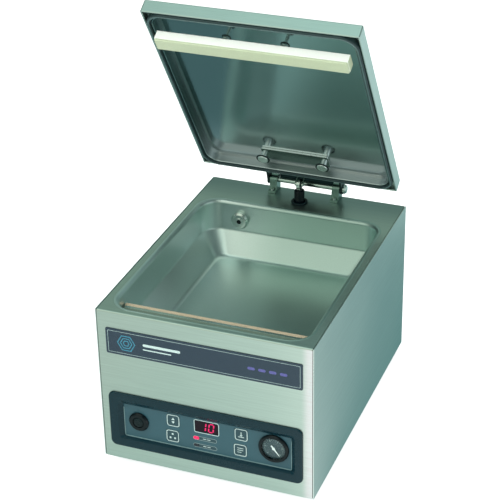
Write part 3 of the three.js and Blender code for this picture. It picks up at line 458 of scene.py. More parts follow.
# a paler stripe for the gasket's crest: painted highlight
seal_crest_painted_highlight = surface("seal_crest_painted_highlight", (0.07, 0.125, 0.125), 0.3, scale=500, tint=0.2, bump=0.08, broad=30,
                     patch=0.25)
black_paint = surface("black_paint", (0.0015, 0.004, 0.006), 0.16, scale=700, tint=0.2, bump=0.05, **FAINT_SHEEN)
black_plastic = surface("black_plastic", (0.006, 0.011, 0.013), 0.4, scale=900, tint=0.15, bump=0.2, depth=0.03)
white_plastic = surface("white_plastic", (0.92, 0.95, 0.9), 0.42, scale=500, tint=0.02, bump=0.06, patch=0.02)
# cream silicone: the pad's own colour, and painted shade on the counter bar rail's white end faces
silicone = surface("cream_silicone", (0.49, 0.55, 0.38), 0.5, scale=500, tint=0.04, bump=0.08)
moulding = surface("dark_moulding", (0.001, 0.019, 0.029), 0.26, scale=1100, tint=0.12, bump=0.15, depth=0.02,
                   **SHEEN)
gauge_black = surface("gauge_black", (0.0003, 0.003, 0.005), 0.14, scale=700, tint=0.2, bump=0.05, **SHEEN)
# pale lip: painted highlight on the lit inner edges of the bezel round the membrane
lip = surface("pale_lip_painted_highlight", (0.16, 0.26, 0.27), 0.35, scale=700, tint=0.1, bump=0.05, broad=20, patch=0.2)
film = surface("face_film", (0.026, 0.085, 0.11), 0.36, scale=1300, tint=0.05, bump=0.1, depth=0.02, broad=14,
               patch=0.1)
key_film = surface("key_film", (0.018, 0.055, 0.07), 0.36, scale=1300, tint=0.08, bump=0.1, depth=0.02)
ink = surface("pale_ink", (0.5, 0.63, 0.62), 0.4, scale=900, tint=0.05, bump=0.03)
faint_ink = surface("faint_ink", (0.3, 0.4, 0.4), 0.4, scale=900, tint=0.05, bump=0.03)
navy = surface("navy_plate", (0.018, 0.036, 0.06), 0.34, scale=900, tint=0.08, bump=0.06, patch=0.08)
window = surface("display_window", (0.01, 0.003, 0.009), 0.3, scale=400, tint=0.1, bump=0.01,
                 Specular_IOR_Level=0.25)
lit = glowing("lit_segments", (0.55, 0.001, 0.085), 0.62)
lamp = glowing("lit_lamp", (0.72, 0.006, 0.085), 0.6)
unlit = surface("unlit_lamp", (0.015, 0.02, 0.03), 0.3, scale=500, tint=0.1, bump=0.05)
dial = surface("dial_face", (0.02, 0.055, 0.066), 0.45, scale=1100, tint=0.15, bump=0.05)
needle_white = surface("needle_white", (0.95, 0.98, 0.98), 0.4, scale=700, tint=0.03, bump=0.02)
turquoise = surface("turquoise_ink", (0.03, 0.19, 0.28), 0.4, scale=900, tint=0.1, bump=0.03)
violet = surface("violet_ink", (0.09, 0.09, 0.3), 0.4, scale=900, tint=0.1, bump=0.03)
tape = woven("seal_tape", (0.42, 0.34, 0.24), 0.42)
tape_edge = woven("seal_tape_edge", (0.36, 0.15, 0.07), 0.42)
# the front of the tape cover drawn dark grey-green: painted shade
tape_front_painted_shade = woven("seal_tape_front", (0.1, 0.14, 0.11), 0.4)
iron = surface("pump_casting", (0.16, 0.2, 0.22), 0.55, 0.3, scale=300, tint=0.12, bump=0.4, depth=0.2)
motor_paint = surface("motor_casting", (0.13, 0.16, 0.18), 0.5, 0.3, scale=300, tint=0.12, bump=0.3, depth=0.15)
core = surface("laminated_core", (0.1, 0.1, 0.1), 0.5, 0.6, ALONG_Y, 900, 0.25, bump=0.5, depth=0.1)
brass = surface("machined_brass", (0.55, 0.42, 0.16), 0.3, 1, scale=500, tint=0.08, bump=0.08)
board = surface("circuit_board", (0.02, 0.12, 0.05), 0.35, scale=250, tint=0.3, bump=0.2)
glass = surface(
    "gauge_glass", (0.94, 0.98, 0.97), 0.03, scale=300, tint=0.01, spread=0.01, bump=0.0,
    Transmission_Weight=1.0, IOR=1.12,
)


# ---------------------------------------------------------------- casing
deck_low, deck_high = node_box("front_deck_panel")
tray_low, tray_high = node_box("vacuum_chamber")
FRONT_Y, DECK_Z = deck_low.y, deck_high.z
CAD_LIP = 4.0
WALL_X = tray_high.x - CAD_LIP
WALL_FRONT, WALL_REAR = tray_low.y + CAD_LIP, tray_high.y - CAD_LIP
TRAY_CORNER = 30.0
ROLL, BEND = 6.5, 3.0
STRUT_HOLE = 10.6
CONTROL_CUT = (278.0, 68.4)
RIDGE_Z, FLOOR_Z, FLOOR_INSET = 221.0, 186.5, 30.0
SHEET = 1.5


def tray_loop(inset, z):
    corner = TRAY_CORNER - inset * (1.0 if inset < 0 else 0.4)
    outline = rounded(
        -WALL_X + inset, WALL_FRONT + min(inset, 0), WALL_X - inset, WALL_REAR - inset, corner, 16
    )
    return [(x, y, z) for x, y in outline]


def casing():
    flat = ROLL + 1.0
    strut = middle("strut_tube")
    bm = bmesh.new()
    edge = deck_high.x - 0.5
    mouth = [(x, y) for x, y, _ in tray_loop(-flat, 0)]
    outline = [
        (-edge, FRONT_Y + BEND), (edge, FRONT_Y + BEND), (edge, deck_high.y), (-edge, deck_high.y),
    ]
    add_sheet(bm, outline, [mouth, circle(0, strut.y, STRUT_HOLE, 40)], "z", DECK_Z)
    rows = []
    for i in range(9):
        a = math.radians(90 * i / 8)
        y, z = FRONT_Y + BEND - BEND * math.sin(a), DECK_Z - BEND + BEND * math.cos(a)
        rows.append([(-edge, y, z), (edge, y, z)])
    for low, high in zip(rows, rows[1:]):
        bm.faces.new([bm.verts.new(p) for p in (low[0], low[1], high[1], high[0])])
    panel = middle("membrane_panel")
    cut_x, cut_z = CONTROL_CUT[0] / 2, CONTROL_CUT[1] / 2
    opening = [(u, panel.z + v) for u, v in ((-cut_x, -cut_z), (cut_x, -cut_z), (cut_x, cut_z), (-cut_x, cut_z))]
    face = [(-edge, deck_low.z), (edge, deck_low.z), (edge, DECK_Z - BEND), (-edge, DECK_Z - BEND)]
    add_sheet(bm, face, [opening], "y", FRONT_Y)
    # front faces take the front steel with its painted highlight, the deck and bend the steel with its painted
    # shade
    paint(bm, lambda face: abs(face.normal.y) > 0.9)
    make(bm, "deck_and_front_sheet", [brushed_painted_shade, front_steel_painted_highlight], "front_deck_panel", solid=SHEET,
         facing=(0, -1, 1), bevel=0.35)

    profile = filleted(
        [(-flat, DECK_Z, 0), (0, DECK_Z, ROLL), (0, RIDGE_Z, 7), (FLOOR_INSET, FLOOR_Z, 12), (50, FLOOR_Z, 0)], 10
    )
    bm = bmesh.new()
    add_loops(bm, [tray_loop(inset, z) for inset, z in profile], cap_last=True)
    make(bm, "chamber_tray", tray_steel_painted_light, "vacuum_chamber", solid=1.2, facing=(0, 0, 1), crease=50)

    for side in ("left", "right"):
        low, high = node_box(f"side_panel_{side}")
        bm = bmesh.new()
        add_prism(bm, rounded(low.y, low.z, high.y, high.z, 0.6, 4), "x", low.x, high.x)
        # the sheet's thin edges are drawn pale: painted highlight
        paint(bm, lambda face: abs(face.normal.x) <= 0.5)
        make(bm, f"side_sheet_{side}", [side_steel, edge_steel_and_painted_highlight], f"side_panel_{side}", bevel=0.35, segments=3)
    refined("rear_panel", side_steel, 0.3)
    refined("base_plate", dull, 0.4)
    for place in ("front_left", "front_right", "rear_left", "rear_right"):
        top = node_box(f"foot_{place}")[1].z
        centre = middle(f"foot_{place}")
        profile = filleted([(0, 0, 0), (3.4, 0, 0), (3.4, 2.4, 0), (6, 2.4, 0), (6, 0, 0), (12, 0, 1.6),
                            (14, top, 1.2), (0, top, 0)], 4)
        turned(f"rubber_foot_{place}", rubber, f"foot_{place}", profile, "z", (centre.x, centre.y, 0))


def seal_bar():
    for side in ("left", "right"):
        centre = middle(f"piston_cylinder_{side}")
        low, high = node_box(f"piston_cylinder_{side}")
        profile = filleted(
            [(0, low.z, 0), (13, low.z, 0.8), (13, low.z + 4, 0.8), (11.5, low.z + 5, 0), (11.5, high.z, 1),
             (6.4, high.z, 0.6), (6.4, high.z - 30, 0), (0, high.z - 30, 0)], 4
        )
        turned(f"lift_cylinder_{side}", bright, f"piston_cylinder_{side}", profile, "z",
               (centre.x, centre.y, 0))
        low, high = node_box(f"seal_piston_{side}")
        profile = filleted([(0, low.z, 0), (6, low.z, 0.5), (6, high.z, 0.5), (0, high.z, 0)], 3)
        turned(f"lift_piston_{side}", bright, f"seal_piston_{side}", profile, "z", (centre.x, centre.y, 0))
    refined("seal_bar_body", alu, 0.3)
    refined("seal_wire", bright, 0.08, 1)
    low, high = node_box("seal_tape")
    y0, y1, top, foot = low.y, high.y, high.z, low.z
    rib = y1 - 6.6
    front = filleted([(y0, foot, 0), (y0, top - 1.1, 1.4), (rib, top - 1.1, 0)], 5)
    crown = filleted([(rib, top - 1.1, 0), (rib + 0.5, top, 0.4), (y1, top, 1.2), (y1, top - 1.3, 0)], 5)
    skirt = [(y1, top - 1.3), (y1, foot)]
    inner = [(y1 - 0.4, foot), (y1 - 0.4, top - 1.6), (y0 + 0.4, top - 1.6), (y0 + 0.4, foot)]
    outline = front + crown[1:] + skirt[1:] + inner
    rest = len(outline) - len(front) - len(crown) + 2
    # the front of the tape cover takes the darker material: painted shade
    zones = [2] * (len(front) - 1) + [0] * (len(crown) - 1) + [1] * rest
    bm = bmesh.new()
    add_prism(bm, outline, "x", low.x, high.x)
    sides = [f for f in bm.faces if len(f.verts) == 4]
    for item, zone in zip(sides, zones):
        item.material_index = zone
    make(bm, "seal_tape_cover", [tape, tape_edge, tape_front_painted_shade], "seal_tape")


def fitting():
    centre = middle("air_fitting")
    high = node_box("air_fitting")[1]
    wall = WALL_REAR - 0.3
    profile = filleted(
        [(0, wall - 4.6, 0), (3.7, wall - 4.6, 0), (3.7, wall - 9.0, 0.3), (5.4, wall - 9.0, 0.4),
         (6.2, wall - 8.2, 0.4), (11.2, wall - 8.2, 1.4), (14.4, wall - 5.4, 1.6), (14.4, wall, 0.6),
         (7, wall, 0), (7, high.y - 3, 0.5), (5, high.y, 0.5), (0, high.y, 0)], 4
    )
    bm = bmesh.new()
    add_lathe(bm, profile, "y", (centre.x, 0, centre.z))
    bore = [(0, wall - 4.7), (3.6, wall - 4.7), (3.6, wall - 5.6), (0, wall - 5.6)]
    add_lathe(bm, bore, "y", (centre.x, 0, centre.z), mat=1)
    make(bm, "air_nozzle", [bright, rubber], "air_fitting")


# ---------------------------------------------------------------- lid
shell_low, shell_high = shut_box("lid_shell")
RIM_Z, TOP_Z = shell_low.z, shell_high.z
GROOVE_Z = RIM_Z + 8.5


def lid_loop(inset, z, corner, steps=14):
    outline = rounded(
        shell_low.x + inset, shell_low.y + inset, shell_high.x - inset, shell_high.y - inset, corner, steps
    )
    return [(x, y, z) for x, y in outline]


def seal_corner(inset):
    """Corner radius of the gasket and of the pan's folded lip."""
    return 29.2 - 0.8 * inset


def lid():
    back_z = shut_box("lid_inner_pan")[1].z
    section = filleted(
        [(2.8, TOP_Z - 2.0, 0), (2.8, RIM_Z, 1.3), (0, RIM_Z, 1.3), (0, TOP_Z, 2.2), (6, TOP_Z, 0)], 6
    )
    bm = bmesh.new()
    add_loops(bm, [lid_loop(i, z, max(0.7, 2.5 - i)) for i, z in section], True, True)
    make(bm, "lid_shell_sheet", lid_steel, "lid_shell", lid=True, crease=50)

    face_z = back_z - 0.8
    back = [(19, back_z), (13, back_z - 2), (11, GROOVE_Z + 0.8), (3.0, GROOVE_Z + 0.8)]
    front = filleted(
        [(3.0, GROOVE_Z, 0), (9.6, GROOVE_Z, 0.5), (9.6, RIM_Z + 0.2, 1.0), (11.8, RIM_Z + 0.2, 1.0),
         (11.8, face_z, 3.2), (30, face_z, 0)], 8
    )
    loops = [lid_loop(i, z, 20 if i > 5 else 1) for i, z in back]
    for inset, z in front:
        loops.append(lid_loop(inset, z, 1 if inset < 4 else seal_corner(inset) if inset < 20 else 12))
    bm = bmesh.new()
    add_loops(bm, loops, True, True)

    def pan_zone(face):
        """1 for the groove that holds the seal, 2 for the pan's walls, 0 for the rest."""
        at = face.calc_center_median()
        if abs(at.z - GROOVE_Z) < 0.1:
            return 1
        across = shell_low.x + 11 < at.x < shell_high.x - 11 and at.y > shell_low.y + 11
        return 2 if across and RIM_Z + 1.3 < at.z < face_z - 0.15 else 0

    # the pan's walls take the darker wall steel: painted shade
    paint(bm, pan_zone)
    make(bm, "lid_pan_sheet", [pan_steel_painted_light, side_steel, wall_steel_painted_shade], "lid_inner_pan", lid=True, crease=50)

    low, high = shut_box("lid_gasket")
    outline = filleted(
        [(3.4, high.z, 0), (3.4, low.z, 2.7), (9.0, low.z, 2.7), (9.0, high.z, 0)], 8
    )
    bm = bmesh.new()
    add_loops(bm, [lid_loop(i, z, seal_corner(i)) for i, z in outline], ring=True)
    # the gasket's lowest faces take the paler crest: painted highlight
    paint(bm, lambda face: face.calc_center_median().z < low.z + 0.25)
    make(bm, "lid_seal", [seal_rubber, seal_crest_painted_highlight], "lid_gasket", lid=True, crease=60)

    low, high = shut_box("counter_bar_holder")
    bm = bmesh.new()
    add_prism(bm, rounded(low.y, low.z, high.y, high.z, 0.9, 4), "x", low.x, high.x)
    # the rail's end faces take the cream silicone colour: painted shade on the white plastic
    paint(bm, lambda face: abs(face.normal.x) > 0.5)
    make(bm, "counter_bar_rail", [white_plastic, silicone], "counter_bar_holder", lid=True, bevel=0.8, segments=3)
    low, high = shut_box("counter_bar_silicone")
    bm = bmesh.new()
    pad, half_y = rounded(low.x, low.y, high.x, high.y, 2.2, 6), (low.y + high.y) / 2
    steps = ((1, 0, high.z), (1, 0, low.z + 1.2), (0.9975, 0.5, low.z + 0.35), (0.992, 1.3, low.z))
    loops = [[(x * part, y + (inset if y < half_y else -inset), z) for x, y in pad] for part, inset, z in steps]
    add_loops(bm, loops, True, True)
    make(bm, "counter_bar_pad", silicone, "counter_bar_silicone", lid=True, crease=60)

    for side in ("left", "right"):
        low, high = shut_box(f"counter_bar_post_{side}")
        x, y = (low.x + high.x) / 2, (low.y + high.y) / 2
        seat = shut_box("counter_bar_holder")[1].z + 0.3
        seat += 0.26 * (high.z - seat)
        profile = filleted(
            [(0, low.z, 0), (3.0, low.z, 0), (3.0, seat - 0.5, 0), (5.6, seat + 0.6, 1.6), (5.6, seat + 4.2, 0),
             (2.6, seat + 4.2, 0), (2.6, high.z, 0), (0, high.z, 0)], 5
        )
        turned(f"counter_bar_screw_{side}", bright, f"counter_bar_post_{side}", profile, "z", (x, y, 0), 48,
               lid=True)
        # a black rubber ring round each counter bar screw, next to its head
        washer = filleted([(2.7, seat + 4.3, 0), (7.0, seat + 4.3, 0.3), (7.0, seat + 5.0, 0.3),
                           (2.7, seat + 5.0, 0), (2.7, seat + 4.3, 0)], 3)
        turned(f"counter_bar_black_ring_{side}", rubber, None, washer, "z", (x, y, 0), 48, body="lid",
               slot="black_rubber", lid=True)

        low, high = shut_box(f"lid_bolt_{side}")
        x, y = (low.x + high.x) / 2, (low.y + high.y) / 2
        collar = shut_box("lid_backing_plate")[0].z - 0.3
        profile = filleted(
            [(0, low.z + 0.3, 0), (8.0, low.z, 0.6), (8.8, low.z + 1.2, 0.4), (8.8, low.z + 3, 0.4),
             (5, low.z + 3, 0), (5, collar, 0.4), (4, collar, 0), (4, high.z - 5, 0), (7.4, high.z - 5, 0.4),
             (7.4, high.z, 1.2), (0, high.z, 0)], 4
        )
        turned(f"hinge_screw_{side}", edge_steel_and_painted_highlight, f"lid_bolt_{side}", profile, "z", (x, y, 0), 56, lid=True)
        washer = filleted([(8.9, low.z + 1.3, 0), (10.9, low.z + 1.1, 0.5), (10.9, low.z + 3.0, 0.5),
                           (8.9, low.z + 3.0, 0), (8.9, low.z + 1.3, 0)], 4)
        turned(f"screw_washer_{side}", rubber, None, washer, "z", (x, y, 0), 56, body="lid",
               slot="black_rubber", lid=True)

    plate = refined("lid_hinge_plate", [dark_steel, bright], 0.5, 3)
    pin = middle("strut_pin") * MM
    for item in plate.data.polygons:
        lug = 4.3 < abs(item.center.x / MM) < 7.2 and (item.center - pin).length < 16 * MM
        item.material_index = 1 if lug else 0
    plate = refined("lid_backing_plate", [plate_steel, edge_steel_and_painted_highlight], 0.4, 2)
    # the plate's edges take the pale steel: painted highlight
    facing = OPEN.to_3x3() @ Vector((0, 0, 1))
    for item in plate.data.polygons:
        item.material_index = 0 if abs(item.normal.dot(facing)) > 0.5 else 1


# ---------------------------------------------------------------- hinge and strut
def hinge_and_strut():
    pivot = PIVOT / MM
    for side in ("left", "right"):
        refined(f"hinge_bracket_{side}", hinge_steel, 0.9, 3)
        low, high = node_box(f"hinge_bracket_{side}")
        x = (low.x + high.x) / 2
        foot = low.z + 4.1
        head = filleted([(0, foot, 0), (3.1, foot, 0), (3.1, foot + 3, 0.7), (1.6, foot + 3, 0),
                         (1.6, foot + 1.4, 0), (0, foot + 1.4, 0)], 4)
        turned(f"bracket_screw_{side}", bright, None, head, "z", (x, low.y + 3.4, 0), 32, body="casing",
               slot="bright_steel")
    low, high = node_box("hinge_axle")
    profile = filleted([(0, low.x, 0), (4.5, low.x, 0.7), (4.5, 63.3, 0), (7.6, 63.3, 0.5), (7.6, 66.4, 0.5),
                        (5.8, 68.8, 1.2), (0, high.x, 0)], 4)
    turned("axle_rod", bright, "hinge_axle", profile, "x", (0, pivot.y, pivot.z), 48)

    low, high = node_box("strut_grommet")
    centre = middle("strut_grommet")
    profile = filleted(
        [(9.7, low.z, 0), (10.3, low.z, 0), (10.3, DECK_Z + 0.3, 0), (13.4, DECK_Z + 0.3, 0.5),
         (13.4, high.z, 1.3), (9.7, high.z, 0.9), (9.7, low.z, 0)], 5
    )
    turned("strut_collar", rubber, "strut_grommet", profile, "z", (centre.x, centre.y, 0), 56)

    low, high = node_box("strut_tube")
    centre = middle("strut_tube")
    shoulder, bore_top = high.z - 19.0, 282.0
    tube = filleted(
        [(4, low.z, 0), (7.5, low.z, 1), (7.5, 225, 0), (8.3, 226, 0), (8.3, shoulder, 1.8),
         (5.2, shoulder + 0.4, 0.6), (4.4, shoulder + 4, 0.6), (0, shoulder + 4, 0)], 5
    ) + [(0, bore_top), (4, bore_top), (4, low.z)]
    turned("strut_cylinder_body", black_paint, None, tube, "z", (0, centre.y, 0), 56, body="strut_cylinder",
           slot="black_paint")
    eye_z = high.z - 8.5
    bm = bmesh.new()
    outer, slot = circle(centre.y, eye_z, 8.5, 36), centred(centre.y, eye_z, 12.2, 5.4, 2.65, 8)
    turn = [math.atan2(v - eye_z, u - centre.y) for u, v in slot]
    start = turn.index(min(turn, key=lambda a: a % (2 * math.pi)))
    slot = slot[start:] + slot[:start]
    add_frame(bm, outer, slot, "x", -3.0, 3.0)
    add_prism(bm, rounded(centre.y - 5, shoulder + 2, centre.y + 5, eye_z - 4.5, 1), "x", -2.9, 2.9)
    paint(bm, lambda face: abs(face.normal.x) <= 0.5)
    eye = make(bm, "strut_eye", [black_paint, bright], "strut_tube", bevel=0.5, segments=3)
    refined("strut_rod", bright, 0.3)
    refined("strut_anchor", dull, 0.4)
    refined("strut_pin", bright, 0.3)


# ---------------------------------------------------------------- control panel
WINDOW_Z = 87.2
DISPLAY = (0.0, 102.0)
LAMP_ROWS = (81.0, 68.0)


def panel_loop(width, height, r, y, cx=0.0, cz=WINDOW_Z):
    return [(u, y, v) for u, v in centred(cx, cz, width, height, r, 10)]


def printed(name, shapes, y, body="casing", material=None, slot="white_plastic", lift=0.02, thick=0.08):
    """Thin printed marks on a face at y; shapes are outlines, or (outer, inner) pairs for frames."""
    bm = bmesh.new()
    for shape in shapes:
        if isinstance(shape, tuple):
            add_frame(bm, shape[0], shape[1], "y", y - lift - thick, y - lift)
        else:
            add_prism(bm, shape, "y", y - lift - thick, y - lift)
    return make(bm, name, material or ink, body=body, slot=slot, weld=1e-4)


def stroke_frame(cx, cz, width, height, r, stroke):
    return (
        centred(cx, cz, width, height, r, 6),
        centred(cx, cz, width - 2 * stroke, height - 2 * stroke, max(0.2, r - stroke), 6),
    )


def bezel():
    low, high = node_box("control_bezel")
    width, height = high.x - low.x, high.z - low.z
    out = ((low.x + high.x) / 2, (low.z + high.z) / 2)
    front, back = low.y, FRONT_Y - 0.3
    face = node_box("membrane_panel")[0].y
    edge = middle("membrane_panel").z
    loops = [
        (276, 66.8, 4, back + 6, 0, edge), (277, 67.6, 4, back, 0, edge), (width, height, 9.5, back, *out),
        (width, height, 9.5, front + 2.2, *out), (width - 0.7, height - 0.7, 9.2, front + 1.1, *out),
        (width - 2.0, height - 2.0, 8.6, front + 0.3, *out), (width - 4.2, height - 4.2, 7.6, front, *out),
        (277, 69.4, 7.6, front + 0.3, 0, edge), (275.4, 67.9, 7.2, front + 0.5, 0, edge),
        (274.2, 66.8, 7, front + 1.2, 0, edge), (263.0, 58.0, 3.6, face - 1.5), (262, 57, 3, face - 1.0),
        (262, 57, 3, face - 0.3), (268, 62, 3, face - 0.25),
    ]
    bm = bmesh.new()
    add_loops(bm, [panel_loop(*loop) for loop in loops])
    make(bm, "bezel_frame", moulding, "control_bezel", facing=(0, -1, 0), crease=50)


def switch():
    low, high = node_box("switch_collar")
    centre = middle("switch_collar")
    profile = filleted(
        [(8.6, high.y, 0), (8.6, low.y, 0.4), (13.2, low.y, 1.4), (15.5, low.y + 2.2, 1.0),
         (15.5, low.y + 4.2, 0), (9, low.y + 4.2, 0), (9, high.y, 0), (8.6, high.y, 0)], 5
    )
    turned("switch_ring", gauge_black, "switch_collar", profile, "y", (centre.x, 0, centre.z), 64)
    low, high = node_box("switch_button")
    front = low.y
    profile = filleted(
        [(0, front + 0.7, 0), (3.0, front + 0.6, 0.6), (3.6, front, 0.3), (4.6, front, 0.3),
         (5.2, front + 0.7, 0.3), (7.2, front + 1.0, 0.9), (8.2, front + 2.6, 0.8), (8.2, high.y, 0),
         (0, high.y, 0)], 4
    )
    turned("switch_cap", rubber, "switch_button", profile, "y", (centre.x, 0, centre.z), 56)


def gauge():
    low, high = node_box("gauge_case")
    centre = middle("gauge_case")
    front, seat = low.y, middle("gauge_dial").y + 0.9
    profile = filleted(
        [(0, high.y, 0), (0, seat, 0), (18, seat, 0), (18, front, 0.8), (21.6, front, 1.0),
         (23.2, front + 1.8, 0.8), (23.2, front + 3.8, 0), (18.8, front + 3.8, 0), (18.8, high.y - 2, 0),
         (17, high.y, 0), (0, high.y, 0)], 5
    )
    turned("gauge_rim", gauge_black, "gauge_case", profile, "y", (centre.x, 0, centre.z), 72)
    refined("gauge_dial", dial, 0.1, 1)
    face = node_box("gauge_dial")[0].y
    home = Vector((centre.x, centre.z))
    marks = []
    for i in range(21):
        a = math.radians(225 - 270 * i / 20)
        inner, half = (11.6, 0.42) if i % 4 == 0 else (13.4, 0.22)
        along, across = Vector((math.cos(a), math.sin(a))), Vector((-math.sin(a), math.cos(a)))
        corners = ((inner, -half), (14.8, -half), (14.8, half), (inner, half))
        marks.append([tuple(home + along * r + across * w) for r, w in corners])
    printed("gauge_scale", marks, face, material=faint_ink)
    refined("gauge_needle", needle_white, 0.12, 1)
    refined("gauge_lens", glass, 0.2)


SEGMENTS = {"0": "abcdef", "1": "bc"}


def digit_shapes(text, x, z, height, step, lean=0.12):
    """Seven-bar digits as outlines, from left to right."""
    width, half, gap = height * 0.5, height / 2, height * 0.075
    bars = {
        "a": ((gap, height), (width - gap, height)), "b": ((width, height - gap), (width, half + gap)),
        "c": ((width, half - gap), (width, gap)), "d": ((gap, 0), (width - gap, 0)),
        "e": ((0, half - gap), (0, gap)), "f": ((0, height - gap), (0, half + gap)),
        "g": ((gap, half), (width - gap, half)),
    }
    shapes = []
    for k, letter in enumerate(text):
        for bar in SEGMENTS[letter]:
            a, b = (Vector(p) for p in bars[bar])
            along = (b - a).normalized()
            across = Vector((-along.y, along.x)) * height * 0.07
            outline = [a - along * 0.2, a + across, b + across, b + along * 0.2, b - across, a - across]
            shapes.append([(x + k * step + p.x + lean * p.y, z + p.y) for p in outline])
    return shapes


def mark(cx, cz, points):
    return [(cx + u, cz + v) for u, v in points]


def controls():
    bezel()
    face = node_box("membrane_panel")[0].y
    refined("membrane_panel", film, 0.15, 1)
    left, right, foot, head = -131.2, 131.2, WINDOW_Z - 28.6, WINDOW_Z + 22
    # pale strips along the left, bottom and right of the membrane, none at the top: painted highlight where the
    # bezel's inner lip catches light
    strips = [
        [(left, foot), (right, foot), (right, foot + 1.5), (left, foot + 1.5)],
        [(left, foot + 1.5), (left + 1.3, foot + 1.5), (left + 1.3, head), (left, head)],
        [(right - 1.2, foot + 1.5), (right, foot + 1.5), (right, head), (right - 1.2, head)],
    ]
    printed("face_border_painted_highlight", strips, face, material=lip, lift=0.0, thick=0.7)

    icons = {
        "key_upper_left": [[(-2.6, 1.2), (2.6, 1.2), (0, 5.2)], [(-2.6, -1.2), (0, -5.2), (2.6, -1.2)]],
        "key_lower_left": [
            [(-1.4, 2.2), (1.4, 2.2), (1.4, 5), (-1.4, 5)], [(-5, -4.6), (-2.2, -4.6), (-2.2, -1.8), (-5, -1.8)],
            [(2.2, -4.6), (5, -4.6), (5, -1.8), (2.2, -1.8)],
        ],
        "key_upper_right": [
            [(-4.4, -4.4), (4.4, -4.4), (4.4, -3.3), (-4.4, -3.3)], [(-2.4, -0.6), (0, -2.8), (2.4, -0.6)],
            [(-0.6, -0.6), (0.6, -0.6), (0.6, 4.6), (-0.6, 4.6)],
        ],
        "key_lower_right": [
            [(-4.6, 3), (4.6, 3), (4.6, 4), (-4.6, 4)], [(-4.6, -0.5), (4.6, -0.5), (4.6, 0.5), (-4.6, 0.5)],
            [(-4.6, -4), (1.6, -4), (1.6, -3), (-4.6, -3)],
        ],
    }
    for name, shapes in icons.items():
        centre = middle(name)
        top = node_box(name)[0].y
        refined(name, key_film, 0.25, 2)
        outlines = [stroke_frame(centre.x, centre.z, 19.6, 19.8, 4.2, 1.1)]
        outlines += [mark(centre.x, centre.z, shape) for shape in shapes]
        printed(f"{name}_print", outlines, top, body=BODY_OF[name])

    refined("display_module", window, 0.2)
    centre_x, centre_z = DISPLAY
    printed("display_border", [stroke_frame(centre_x, centre_z, 39.2, 22.4, 3.2, 1.0)], face)
    digits = digit_shapes("10", centre_x - 9.4, centre_z - 7.0, 14.2, 12.2)
    printed("display_digits", digits, node_box("display_module")[0].y, material=lit, slot="display_window")
    pills = [(centred(-3, z, 37, 6.6, 3.2, 8), centred(-3, z, 36, 5.6, 2.7, 8)) for z in LAMP_ROWS]
    printed("lamp_borders", pills, face, material=faint_ink)
    fields = [centred(-3, z, 35.8, 5.4, 2.6, 8) for z in LAMP_ROWS]
    printed("lamp_fields", fields, face, material=key_film, thick=0.05)
    legends = [centred(x, z, 5.2, 1.1, 0.3, 3) for z in LAMP_ROWS for x in (-3.5, 3.0)]
    printed("lamp_legends", legends, face, thick=0.12)
    bm = bmesh.new()
    dome = ((0, face - 0.02), (0.1, face - 0.5), (0.8, face - 0.85), (2.2, face - 1.0))
    for mat, z in enumerate(LAMP_ROWS):
        loops = [[(u, y, v) for u, v in centred(-16.5, z, 9 - shrink, 5 - shrink, (5 - shrink) / 2 - 0.05, 8)]
                 for shrink, y in dome]
        add_loops(bm, loops, True, True, mat=mat)
    make(bm, "status_lamps", [lamp, unlit], body="casing", slot="display_window", crease=60)
    switch()
    gauge()
    refined("control_board", board, 0.2, 1)

    low, high = node_box("badge_plate")
    bm = bmesh.new()
    add_prism(bm, rounded(low.x, low.z, high.x, high.z, 2.5, 6), "y", low.y, high.y)
    make(bm, "name_plate", navy, "badge_plate", bevel=0.2)
    cx, cz = (low.x + high.x) / 2, (low.z + high.z) / 2
    frame_line = stroke_frame(cx, cz, high.x - low.x - 6.6, high.z - low.z - 6.6, 1.4, 0.7)
    printed("name_plate_line", [frame_line], low.y, material=faint_ink)
    emblem_x = low.x + 32
    rings = [(circle(emblem_x, cz, r, 6), circle(emblem_x, cz, r - 2, 6)) for r in (14.5, 10.0, 5.5)]
    printed("name_plate_emblem", rings, low.y, material=turquoise)
    bars = [centred(low.x + x, cz + z, width, tall, tall / 2 - 0.05, 5)
            for x, z, width, tall in ((87, 2.5, 58, 4.2), (80, -4.8, 44, 1.8))]
    printed("name_plate_bars", bars, low.y)
    bars = [centred(high.x - 76 + 16 * i, cz - 1, 11, 4.6, 2.2, 5) for i in range(4)]
    printed("name_plate_dashes", bars, low.y, material=violet)


# ---------------------------------------------------------------- rear and inside
def rear_and_inside():
    refined("power_inlet", black_plastic, 0.3)
    low, high = node_box("exhaust_port")
    centre = middle("exhaust_port")
    profile = filleted(
        [(6, low.y, 0), (10.2, low.y, 0.5), (10.2, high.y - 2.3, 0), (15, high.y - 2.3, 0.4), (15, high.y, 1.0),
         (6, high.y, 0.8), (6, low.y, 0)], 4
    )
    turned("exhaust_nozzle", black_plastic, "exhaust_port", profile, "y", (centre.x, 0, centre.z), 48)
    rear = deck_high.y
    bm = bmesh.new()
    low, high = node_box("rear_panel")
    head = filleted([(0, rear + 0.9, 0), (1.2, rear + 0.9, 0), (1.2, rear + 1.7, 0), (3.3, rear + 1.5, 0.8),
                     (3.6, rear, 0)], 3)
    for x in (low.x + 9, 0, high.x - 9):
        for z in (low.z + 9, high.z - 9):
            add_lathe(bm, head, "y", (x, 0, z), 28)
    make(bm, "rear_screws", bright, body="casing", slot="bright_steel", facing=(0, 1, 0))
    refined("vacuum_pump", iron, 1.5, 3)
    refined("pump_motor", motor_paint, 0.6)
    refined("motor_fan", black_plastic, 0.3)
    refined("pump_intake_hose", rubber, 0.3)
    refined("transformer", core, 0.8)
    refined("vent_valve", brass, 0.6)


casing()
seal_bar()
fitting()
lid()
hinge_and_strut()
controls()
rear_and_inside()


